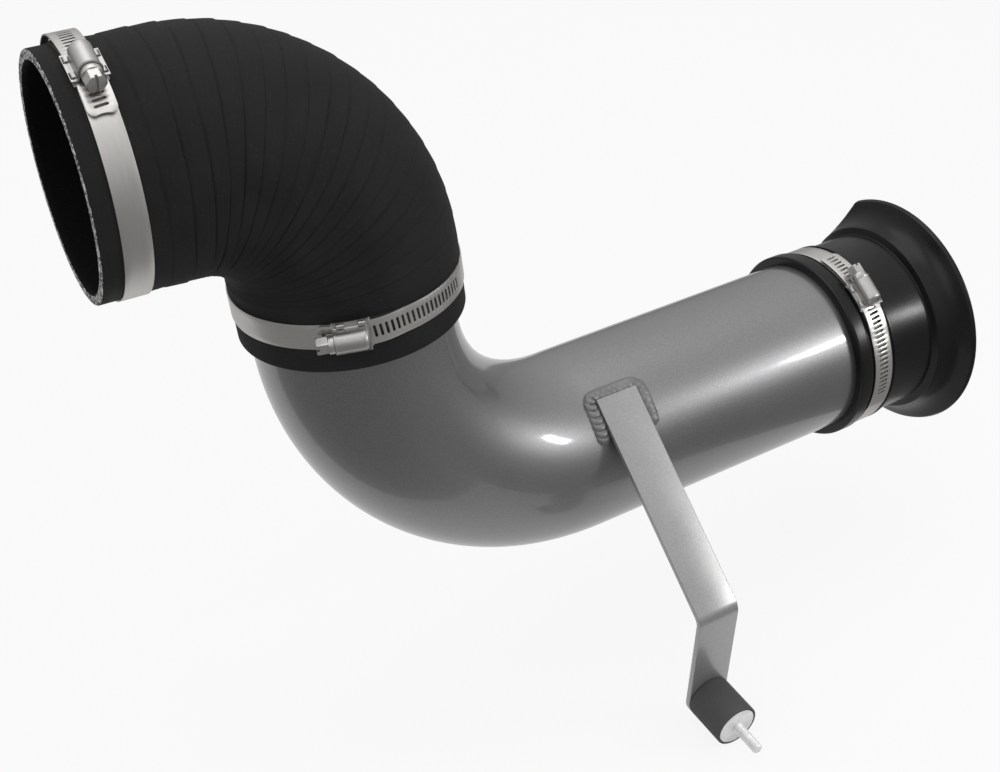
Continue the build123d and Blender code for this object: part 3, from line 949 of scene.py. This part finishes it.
def bar_stations():
    """Where the bar's outer face runs, which way it looks and half its width there."""
    outer_radius = bar_fold_radius + bar_thickness
    arm_end = bar_arm_length - outer_radius * tan(bar_fold_angle / 2)
    half = bar_width / 2
    stations = []
    for step in range(bar_arm_steps + 1):
        down = arm_way * arm_end * step / bar_arm_steps
        stations.append((arm_top + down + bar_out * bar_thickness, bar_out, half))
    bend_centre = stations[-1][0] - bar_out * outer_radius
    for step in range(1, bar_fold_steps + 1):
        turned = bar_fold_angle * step / bar_fold_steps
        outward = bar_out * cos(turned) + arm_way * sin(turned)
        stations.append((bend_centre + outward * outer_radius, outward, half))
    leg_start = stations[-1][0]
    leg_run = (isolator_seat - leg_start).length
    for step in range(1, bar_leg_steps + 1):
        stations.append((leg_start + leg_way * leg_run * step / bar_leg_steps, leg_out, half))
    for step in range(1, bar_end_steps + 1):
        turned = pi / 2 * step / bar_end_steps
        stations.append((isolator_seat + leg_way * half * sin(turned), leg_out,
                         max(half * cos(turned), bar_least_half)))
    return stations


def make_bracket():
    """Flat bar bent on a radius, with rounded edges and a round lower end with its hole."""
    stations = bar_stations()
    points = []
    for outer, outward, half in stations:
        edge = min(bar_edge_round, half * bar_edge_share)
        section = rounded([(half, 0, edge), (half, -bar_thickness, edge),
                           (-half, -bar_thickness, edge), (-half, 0, edge)], step=radians(30))
        points += [outer + along_x * across + outward * down for across, down in section]
    faces = grid_faces(len(stations), len(section)) + end_faces(len(section), points)
    hole = drill_cutter(leg_place.raised(-bar_thickness / 2), bar_hole_radius, 4 * bar_thickness)
    return new_piece("bracket_bar", points, faces, [bracket_finish], "tube_paint",
                     ["mount_bracket"], sharp=35, holes=[hole])


def bead_route():
    """Bead's way up one edge of the bar, across its end and down the other, finely divided."""
    reach = bar_width / 2 + bead_side_gap
    top = radians(bead_top_turn) * tube_radius
    side = radians(bead_side_turn) * tube_radius
    route = rounded([(-reach, side, 0), (-reach, top, bead_corner), (reach, top, bead_corner),
                     (reach, side, 0)], closed=False, step=radians(9))
    finer = []
    for start, stop in zip(route, route[1:]):
        pieces = max(1, ceil((stop - start).length / bead_spacing))
        finer += [start.lerp(stop, piece / pieces) for piece in range(pieces)]
    finer.append(route[-1])
    lengths = [0]
    for start, stop in zip(finer, finer[1:]):
        lengths.append(lengths[-1] + (stop - start).length)
    return finer, lengths, side - top


def bead_ripple(length, angle, strength):
    """Height of the ripples this far along the bead and this far round its section."""
    where = Vector((length * bead_pitch_noise_scale, bead_pitch_noise_row, 0))
    drift = bead_pitch_noise * noise.noise(where)
    phase = (length + bead_ripple_bow * sin(angle) + drift) / bead_ripple_pitch
    from_groove = min(phase % 1, 1 - phase % 1)
    crest = min(1.0, from_groove / bead_groove_share) ** bead_groove_power
    return bead_ripple_height * strength * (crest - bead_ripple_middle) * sin(angle)


def make_weld():
    """Weld bead laid in ripples on the tube round the bar's end."""
    spots, lengths, first_side = bead_route()
    points = []
    for index, (spot, length) in enumerate(zip(spots, lengths)):
        ahead = spots[min(index + 1, len(spots) - 1)] - spots[max(index - 1, 0)]
        ahead.normalize()
        turn = spot.y / tube_radius
        out = Vector((0, -sin(turn), cos(turn)))
        round_way = Vector((0, -cos(turn), -sin(turn)))
        across = along_x * ahead.y - round_way * ahead.x
        centre = along_x * (bar_x + spot.x) + out * (tube_radius - bead_sink)
        from_end = min(length, lengths[-1] - length)
        taper = sqrt(max(0.0, 1 - max(0, 1 - from_end / bead_radius) ** 2))
        taper = max(taper, bead_tip_share)
        past_corner = eased((length - first_side + bead_streak_lead) / bead_streak_length)
        strength = 1 - (1 - bead_streak_share) * past_corner
        for step in range(bead_section_steps + 1):
            angle = pi * step / bead_section_steps
            ripple = bead_ripple(length, angle, strength)
            where = Vector((length * bead_wobble_scale, angle, bead_wobble_row))
            wobble = bead_wobble * noise.noise(where)
            width = (bead_radius + wobble) * taper
            height = (bead_height + bead_sink + ripple + wobble) * taper
            points.append(centre + across * (width * cos(angle)) + out * (height * sin(angle)))
    return new_piece("weld_bead", points, grid_faces(len(spots), bead_section_steps + 1),
                     [weld_finish], "tube_paint", ["bracket_weld"], sharp=80)


def make_threaded(name, place, length, radius, pitch, depth, finish, facets, plate=None,
                  replaced=()):
    """Threaded rod along a place's z, with a plate (radius, thickness) at its root if given."""
    points = []
    if plate:
        plate_radius, thickness = plate
        for distance, ring_radius in ((-thickness, plate_radius - plate_edge),
                                      (-plate_edge, plate_radius),
                                      (0, plate_radius - plate_edge),
                                      (0, radius * root_flare), (root_height, radius)):
            points += place.ring(ring_radius, distance, facets)
    run = length - thread_start
    steps = int(run / (pitch / thread_steps))
    for step in range(steps + 1):
        distance = run * step / steps
        limit = radius - max(0, pitch * thread_chamfer - (run - distance))
        for facet in range(facets):
            share = (distance / pitch - facet / facets) % 1
            cut = depth * (1 - abs(2 * share - 1)) ** thread_fullness
            points.append(place.round_at(min(radius - cut, limit), 2 * pi * facet / facets,
                                         thread_start + distance))
    faces = grid_faces(len(points) // facets, facets) + end_faces(facets, points)
    return new_piece(name, points, faces, [finish], "zinc_steel", replaced, sharp=50)


def hexagon_shape(place, flats, height, bore=None):
    """Points and faces of a hexagon with chamfered corners: a nut, or a domed head if it has
    no bore."""
    corner = flats / 2 / cos(pi / 6)
    outline = [(flats * rise, corner * share) for rise, share in hexagon_base]
    outline += [(height - flats * drop, corner * share) for drop, share in hexagon_top]
    if bore:
        outline += [(height, bore * bore_chamfer), (height - nut_countersink, bore),
                    (nut_countersink, bore), (0, bore * bore_chamfer)]
    else:
        outline += [(height + rise, corner * share) for rise, share in hexagon_dome]
        outline += [(height + head_dome, head_dome_middle)]
    points = []
    for distance, limit in outline:
        for facet in range(hexagon_facets):
            turn = 2 * pi * facet / hexagon_facets
            from_flat = (turn + pi / 6) % (pi / 3) - pi / 6
            side = min(flats / 2 / cos(from_flat), corner * hexagon_corner)
            points.append(place.round_at(min(side, limit), turn, distance))
    faces = grid_faces(len(outline), hexagon_facets, round_rows=bool(bore))
    if not bore:
        faces.append(tuple(range(hexagon_facets)))
    return points, faces


def make_isolator():
    """Rubber mount, its two plated studs, the washer and the nut."""
    plate_radius, plate_thickness = isolator_plate_radius, isolator_plate_thickness
    outline = rounded([
        (plate_thickness, axis_radius, 0), (plate_thickness, plate_radius, 0),
        (0, plate_radius, 0.2), (0, isolator_radius, 0.9),
        (isolator_length, isolator_radius, 0.9), (isolator_length, plate_radius, 0.3),
        (isolator_length - plate_thickness, plate_radius, 0),
        (isolator_length - plate_thickness, axis_radius, 0)])
    turned_piece("isolator_block", leg_place, outline, isolator_finish, "isolator_rubber",
                 isolator_facets, closed=False, replaced=["isolator_rubber"], sharp=45)
    inner = Place(isolator_seat, along_x, -leg_out)
    for label, place, length in (("outer", leg_place.raised(isolator_length), outer_stud_length),
                                 ("inner", inner, inner_stud_length)):
        make_threaded(f"isolator_{label}_thread", place, length, stud_radius, stud_thread_pitch,
                      stud_thread_depth, zinc_finish, stud_facets,
                      plate=(plate_radius, plate_thickness),
                      replaced=[f"isolator_{label}_stud"])
    washer = inner.raised(bar_thickness)
    ring = rounded([(0, bar_hole_radius, 0.2), (0, washer_radius, 0.3),
                    (washer_thickness, washer_radius, 0.5),
                    (washer_thickness, bar_hole_radius, 0.3)], step=radians(30))
    turned_piece("isolator_washer_ring", washer, ring, zinc_finish, "zinc_steel", washer_facets,
                 replaced=["isolator_washer"])
    points, faces = hexagon_shape(washer.raised(washer_thickness), nut_flats, nut_height,
                                  bore=stud_radius)
    new_piece("isolator_hex_nut", points, faces, [zinc_finish], "zinc_steel",
              ["isolator_nut"], sharp=25)


class Clamp:
    """One worm-drive clamp. Its x points through the housing, y along the screw to its head
    and z along the duct. seat is the radius it grips, tail the band past the screw, ramp the
    band that rises to the housing and lift how far it stands off there."""

    def __init__(self, name, centre, way, toward, seat, tail, ramp, lift):
        self.name = name
        self.place = Place(centre, toward, way)
        self.seat = seat
        self.tail = tail
        self.lift = lift
        self.ramp_end = 2 * pi - raised_length / 2 / seat - ramp_margin
        self.ramp_start = self.ramp_end - ramp / seat
        self.liner_start = 2 * pi - liner_lead / seat
        self.liner_end = liner_tail / seat

    def band_rise(self, turn):
        """Height of the band's inner side over the seat at this turn."""
        step_turn = liner_step / self.seat
        if turn < pi:
            on_liner = 1 - eased((turn - self.liner_end) / step_turn)
        else:
            on_liner = eased((turn - self.liner_start + step_turn) / step_turn)
        share = (turn - self.ramp_start) / (self.ramp_end - self.ramp_start)
        climb = (upper_bottom - liner_thickness) * eased(share)
        hump = self.lift * sin(pi * max(0.0, min(1.0, share)) ** lift_skew) ** 2
        return liner_thickness * on_liner + climb + hump

    def band_point(self, arc, across):
        """Point in the middle of the band's thickness; arc is 0 at the tail's end and falls."""
        turn = 2 * pi + self.tail / self.seat + arc / (self.seat + upper_top)
        radius = self.seat + self.band_rise(turn) + band_thickness / 2
        return self.place.round_at(radius, turn, across)

    def sheet(self, rise, turns, widths):
        """Grid of points bent round the duct at a height over the seat."""
        return [self.place.round_at(self.seat + rise, turn, across)
                for turn in turns for across in widths]


def slot_outline():
    """Slanted slot round its middle, as (along, across) the band."""
    half = slot_width / 2
    reach = slot_length / 2
    quarter = [(half, cell_inner), (half, slot_side), (half - slot_corner, reach),
               (0, reach + slot_crown)]
    upper = quarter + [(-along, across) for along, across in reversed(quarter[:-1])]
    outline = upper + [(-along, -across) for along, across in upper]
    return [(along * cos(slot_slant) - across * sin(slot_slant),
             along * sin(slot_slant) + across * cos(slot_slant)) for along, across in outline]


def make_band(clamp):
    """Band: a rounded tail, slotted cells back past the housing, plain strip for the rest."""
    points = []
    faces = []
    flat_map = []

    def add_point(arc, across):
        points.append(clamp.band_point(arc, across))
        flat_map.append((arc, across))
        return len(points) - 1

    def column(arc, squeeze=1.0, notch=0.0):
        return [add_point(arc - notch * (1 - (level / band_half) ** 2), level * squeeze)
                for level in band_levels]

    def strip(first, second):
        for low in range(len(band_levels) - 1):
            faces.append((first[low], first[low + 1], second[low + 1], second[low]))

    current = None
    for step in range(tail_steps + 1):
        angle = pi / 2 * (1 - step / tail_steps)
        squeeze = (band_half - tail_corner + tail_corner * cos(angle)) / band_half
        following = column(-tail_corner * (1 - sin(angle)), squeeze,
                           tail_notch * (1 - step / tail_steps))
        if current:
            strip(current, following)
        current = following
    slot_span = clamp.tail - slot_end_margin + housing_length / 2
    slot_count = int(slot_span / slot_pitch) + slots_past_housing
    outline = slot_outline()
    for slot in range(slot_count):
        middle = -slot_end_margin - slot * slot_pitch
        following = column(middle - slot_pitch / 2)
        hole = [add_point(middle + along, across) for along, across in outline]
        top = add_point(middle, band_half)
        bottom = add_point(middle, -band_half)
        border = current[3:] + [top] + following[::-1] + [bottom] + current[:3]
        for spot in range(len(hole)):
            beyond = (spot + 1) % len(hole)
            faces.append((hole[spot], hole[beyond], border[beyond], border[spot]))
        current = following
    slotted_end = -slot_end_margin - (slot_count - 0.5) * slot_pitch
    whole_turn = 2 * pi + (clamp.tail + band_lap) / clamp.seat
    band_end = -whole_turn * (clamp.seat + upper_top)
    for step in range(1, band_plain_steps + 1):
        following = column(slotted_end + (band_end - slotted_end) * step / band_plain_steps)
        strip(current, following)
        current = following
    new_piece(f"{clamp.name}_strip", points, faces, [band_finish], "clamp_steel",
              [f"{clamp.name}_band"], solid=band_thickness, bevel=band_bevel, flat_map=flat_map)


def make_liner(clamp):
    """Liner: a thin strip under the screw that covers the slots."""
    sweep = liner_lead / clamp.seat + clamp.liner_end
    steps = range(liner_steps + 1)
    widths = (-band_half, 0, band_half)
    points = clamp.sheet(liner_thickness / 2,
                         [clamp.liner_start + sweep * step / liner_steps for step in steps], widths)
    flat_map = [(step * liner_map_step, across) for step in steps for across in widths]
    # The liner's dark tone is painted shade for the slots above it, not the steel's own colour.
    new_piece(f"{clamp.name}_liner_strip", points,
              grid_faces(liner_steps + 1, 3, round_columns=False), [liner_painted_shade_finish], "clamp_steel",
              [f"{clamp.name}_liner"], solid=liner_thickness - liner_trim,
              bevel=liner_bevel,
              flat_map=flat_map)


def make_tab(clamp, end, side):
    """One of the saddle's four tabs, folded over the housing's flange."""
    base = clamp.seat + saddle_bottom + saddle_thickness / 3
    lower = clamp.seat + flange_top + tab_rest
    upper = clamp.seat + flange_top + saddle_thickness
    wall = rounded([
        (base, tab_inner, 0), (base, tab_outer, 0), (upper, tab_outer, 0.95),
        (upper, tab_inner - tab_fold, 0.2), (lower, tab_inner - tab_fold, 0.1),
        (lower, tab_inner, 0.15)], step=radians(18))
    middle = sum(wall, Vector((0, 0))) / len(wall)
    points = []
    for share, inset in ((-1, tab_edge_inset), (-tab_edge_share, 0), (tab_edge_share, 0),
                         (1, tab_edge_inset)):
        along = end * tab_spacing / 2 + share * tab_length / 2
        for spot in wall:
            pulled = spot + (middle - spot).normalized() * inset
            points.append(clamp.place.at(pulled.x, along, side * pulled.y))
    label = f"{clamp.name}_tab_{'front' if end > 0 else 'rear'}_{'near' if side > 0 else 'far'}"
    new_piece(label, points, grid_faces(4, len(wall)) + end_faces(len(wall), points),
              [housing_finish], "clamp_steel", sharp=35)


def make_saddle(clamp):
    """Saddle: curved plate between the band's layers, with its tabs."""
    half_turn = saddle_length / 2 / clamp.seat
    points = clamp.sheet(saddle_bottom + saddle_thickness / 2,
                         [half_turn * (2 * step / saddle_steps - 1)
                          for step in range(saddle_steps + 1)], (-tab_outer, 0, tab_outer))
    new_piece(f"{clamp.name}_saddle_plate", points,
              grid_faces(saddle_steps + 1, 3, round_columns=False), [housing_finish],
              "clamp_steel", [f"{clamp.name}_saddle"],
              solid=saddle_thickness - saddle_trim, bevel=saddle_bevel)
    for end in (-1, 1):
        for side in (-1, 1):
            make_tab(clamp, end, side)


def housing_profile():
    """Housing's sheet across the duct, as (across, height): flange, foot, dome and back."""
    foot_start = sheet_radius + dome_foot
    profile = [(housing_width / 2 - housing_side_inset, 0), (tab_outer + window_gap, 0),
               (tab_inner - window_gap, 0), (foot_start, 0)]
    profile += [(foot_start - dome_foot * sin(angle), dome_foot - dome_foot * cos(angle))
                for angle in (radians(22), radians(45), radians(68), radians(90))]
    profile += [(sheet_radius * cos(angle), dome_leg + sheet_radius * sin(angle))
                for angle in [radians(9 * step) for step in range(0, 11)]]
    return profile + [(-across, height) for across, height in reversed(profile[:-1])]


def make_housing(clamp):
    """Housing: one pressed sheet, a domed cover with a rounded rear and an open front."""
    profile = housing_profile()
    window_ends = [end * tab_spacing / 2 + side * (tab_length / 2 + window_gap)
                   for end in (-1, 1) for side in (-1, 1)]
    rear = -housing_length / 2
    front = housing_length / 2
    rows = [rear + housing_wall / 2, rear + housing_rear_row, 0.0] + window_ends
    rows += [rear + dome_rear * share for share in dome_rear_rows]
    rows += [front - inset for inset in housing_front_rows]
    rows = sorted(set(round(row, 3) for row in rows))
    points = []
    for row in rows:
        past = max(0.0, 1 - (row - rear - dome_rear_start) / (dome_rear - dome_rear_start))
        share = sqrt(max(0.0, 1 - min(past, 1.0) ** 2))
        narrowed = dome_rear_width + (1 - dome_rear_width) * share
        lip = dome_lip * eased((row - front + dome_lip_start) / dome_lip_length)
        for across, height in profile:
            inner = abs(across) < sheet_radius + dome_foot + row_tolerance
            wide = across * narrowed if inner else across
            tall = height * share
            if height > 0:
                wide *= 1 + lip / sheet_radius
                tall += lip * height / (dome_leg + sheet_radius)
            points.append(clamp.place.at(clamp.seat + sheet_base + tall, row, wide))
    window_rows = []
    for start, stop in (window_ends[:2], window_ends[2:]):
        window_rows += [index for index, row in enumerate(rows[:-1])
                        if start - row_tolerance <= row < stop - row_tolerance]
    columns = len(profile) - 1
    windows = {row * columns + column for row in window_rows for column in (1, columns - 2)}
    faces = grid_faces(len(rows), len(profile), round_columns=False)
    faces = [face for index, face in enumerate(faces) if index not in windows]
    new_piece(f"{clamp.name}_cover", points, faces, [housing_finish], "clamp_steel",
              [f"{clamp.name}_housing"], sharp=45, solid=housing_wall - housing_trim,
              bevel=housing_bevel)


def make_screw(clamp):
    """Screw: threaded worm, collar, slotted hexagon head."""
    place = clamp.place
    origin = place.origin + place.x * (clamp.seat + worm_axis) + place.y * (housing_length / 2)
    worm_length = housing_length - housing_wall - worm_inset - worm_end_gap
    make_threaded(f"{clamp.name}_worm", Place(origin, place.x, -place.y), worm_length,
                  worm_radius, slot_pitch, worm_thread_depth, screw_finish, worm_facets)
    head_place = Place(origin, place.x, place.y)
    collar = rounded([(0, axis_radius, 0), (0, collar_radius, 0.2),
                      (collar_thickness, collar_radius, 0.35),
                      (collar_thickness, axis_radius, 0)], step=radians(30))
    turned_piece(f"{clamp.name}_collar", head_place, collar, screw_finish, "zinc_steel",
                 collar_facets, closed=False)
    hexagon_place = head_place.raised(collar_thickness)
    points, faces = hexagon_shape(hexagon_place, head_flats, head_length - head_dome)
    slot_place = hexagon_place.raised(head_length - head_slot_depth / 2)
    slot_cut = block_cutter(slot_place, 3 * head_flats, head_slot_width,
                            head_slot_depth + head_slot_spare)
    new_piece(f"{clamp.name}_head", points, faces, [screw_finish], "zinc_steel",
              [f"{clamp.name}_screw"], sharp=28, holes=[slot_cut])


def make_clamp(*values, **shape):
    """Every piece of one worm-drive clamp, from the values that Clamp takes."""
    clamp = Clamp(*values, **shape)
    for make_part in (make_band, make_liner, make_saddle, make_housing, make_screw):
        make_part(clamp)


make_tube()
make_hose()
make_adapter()
make_bracket()
make_weld()
make_isolator()

# Each clamp: how far it sits from its end of the rubber and which way its housing looks
inlet_clamp_inset = 15.7
inlet_clamp_turn = 24.0
inlet_place = hose_path.place(hose_path.length - inlet_clamp_inset)
make_clamp("inlet_clamp", inlet_place.origin, -inlet_place.z, radial(inlet_clamp_turn),
           hose_radius + clamp_gap, tail=23.5, ramp=48.0, lift=2.5)
joint_clamp_inset = 19.3
joint_clamp_turn = radians(113.8)
joint_toward = along_x * cos(joint_clamp_turn) - along_y * sin(joint_clamp_turn)
joint_place = hose_path.place(joint_clamp_inset)
make_clamp("joint_clamp", joint_place.origin, -joint_place.z, joint_toward,
           hose_radius + clamp_gap, tail=16.0, ramp=15.0, lift=0.2)
adapter_clamp_inset = 17.5
adapter_clamp_turn = 39.2
make_clamp("adapter_clamp", along_x * (adapter_collar_edge + adapter_clamp_inset), -along_x,
           radial(adapter_clamp_turn), adapter_seat_radius + clamp_gap, tail=34.0, ramp=15.0,
           lift=0.2)


# Studio: pale floor, pale walls in the world, three soft lamps

floor_size = 12.0
floor_glow = 0.88
sheet_middle = (-0.19, 0.48)
sheet_reach = 0.75
sheet_tone = 0.74
room_tone = 0.21
wall_tone = 0.32
ceiling_tone = 0.95
ceiling_start = 0.85
backdrop_tone = 0.96

# Lamps: name, place, width and height in metres, power in watts
lamps = (("top_softbox", (-0.3, 0.1, 1.5), 1.2, 1.2, 5.0),
         ("left_softbox", (-1.5, -0.6, 0.9), 1.0, 0.8, 2.5),
         ("key_softbox", (0.47, -0.63, 0.30), 0.18, 0.07, 2.4))

# Camera at the photograph's place: where it looks from, how far it leans and its lens
camera_spot = Vector((-0.61962, -0.63847, 0.47726))
camera_back = Vector((-0.42296, -0.75229, 0.50513)).normalized()
camera_roll = radians(4.607)
camera_focal = 1598.34
image_width = 1000.0
sensor_width = 36.0
near_limit = 0.02


def pale_floor():
    """Floor that is almost white to the camera, with a soft shadow. In mirrors it is a pale
    square sheet, one corner to the front, in a darker room."""
    material = clouded("pale_floor", (400.0, 3.0), rough=(0.8, 0.9), tones=(0.60, 0.63))
    tree = material.node_tree
    seen = new_node(tree, "ShaderNodeLightPath").outputs
    where = new_node(tree, "ShaderNodeTexCoord").outputs["Object"]
    split = new_node(tree, "ShaderNodeSeparateXYZ", {"Vector": where}).outputs
    reach = [calculated(tree, "ABSOLUTE", calculated(tree, "SUBTRACT", split[axis], middle))
             for axis, middle in zip("XY", sheet_middle)]
    on_sheet = calculated(tree, "LESS_THAN", calculated(tree, "ADD", *reach), sheet_reach)
    mirrored = over(tree, on_sheet, room_tone, sheet_tone)
    shown = over(tree, seen["Is Camera Ray"], mirrored, 1.0)
    glow = new_node(tree, "ShaderNodeEmission", {"Color": shown})
    in_mirror = calculated(tree, "MAXIMUM", seen["Is Glossy Ray"], seen["Is Transmission Ray"])
    in_view = calculated(tree, "MAXIMUM", seen["Is Camera Ray"], in_mirror)
    mix = new_node(tree, "ShaderNodeMixShader",
                   {"Fac": calculated(tree, "MULTIPLY", in_view, floor_glow),
                    1: tree.nodes["Principled BSDF"].outputs["BSDF"], 2: glow.outputs["Emission"]})
    tree.links.new(mix.outputs["Shader"], tree.nodes["Material Output"].inputs["Surface"])
    return material


def make_floor():
    """Flat floor just under the part."""
    lowest = cad_box[0][2]
    mesh = bpy.data.meshes.new("studio_floor")
    corners = [(x * floor_size, y * floor_size, lowest)
               for x, y in ((-1, -1), (1, -1), (1, 1), (-1, 1))]
    mesh.from_pydata(corners, [], [(0, 1, 2, 3)])
    mesh.materials.append(pale_floor())
    floor = linked("studio_floor", mesh)


def make_world():
    """Grey walls that lighten towards the ceiling, behind a pale backdrop for the camera."""
    world = bpy.data.worlds.new("studio")
    world.use_nodes = True
    tree = world.node_tree
    place = new_node(tree, "ShaderNodeTexCoord").outputs["Generated"]
    height = new_node(tree, "ShaderNodeSeparateXYZ", {"Vector": place}).outputs["Z"]
    room = blended(tree, height, wall_tone, ceiling_tone, 0.0, ceiling_start)
    seen = new_node(tree, "ShaderNodeLightPath").outputs["Is Camera Ray"]
    feed(tree, tree.nodes["Background"], {"Color": over(tree, seen, room, backdrop_tone)})
    bpy.context.scene.world = world


def make_lamp(name, spot, width, height, power):
    """Soft rectangular lamp at a spot, turned to the middle of the part."""
    lamp = bpy.data.lights.new(name, "AREA")
    lamp.shape = "RECTANGLE"
    lamp.size = width
    lamp.size_y = height
    lamp.energy = power
    part_middle = Vector([(low + high) / 2 for low, high in zip(*cad_box)])
    holder = linked(name, lamp)
    holder.location = spot
    holder.rotation_euler = (part_middle - Vector(spot)).to_track_quat("-Z", "Y").to_euler()
    holder.visible_camera = False


def make_camera():
    """Camera turned level first, then rolled."""
    level_right = along_z.cross(camera_back).normalized()
    level_up = camera_back.cross(level_right)
    right = level_right * cos(camera_roll) - level_up * sin(camera_roll)
    up = camera_back.cross(right)
    camera = bpy.data.cameras.new("photo_camera")
    camera.sensor_width = sensor_width
    camera.lens = camera_focal * sensor_width / image_width
    camera.clip_start = near_limit
    holder = linked("photo_camera", camera)
    turn = Matrix((right, up, camera_back)).transposed().to_4x4()
    holder.matrix_world = Matrix.Translation(camera_spot) @ turn
    bpy.context.scene.camera = holder


make_floor()
make_world()
for lamp_sizes in lamps:
    make_lamp(*lamp_sizes)
make_camera()
bpy.context.scene.view_settings.view_transform = "Standard"
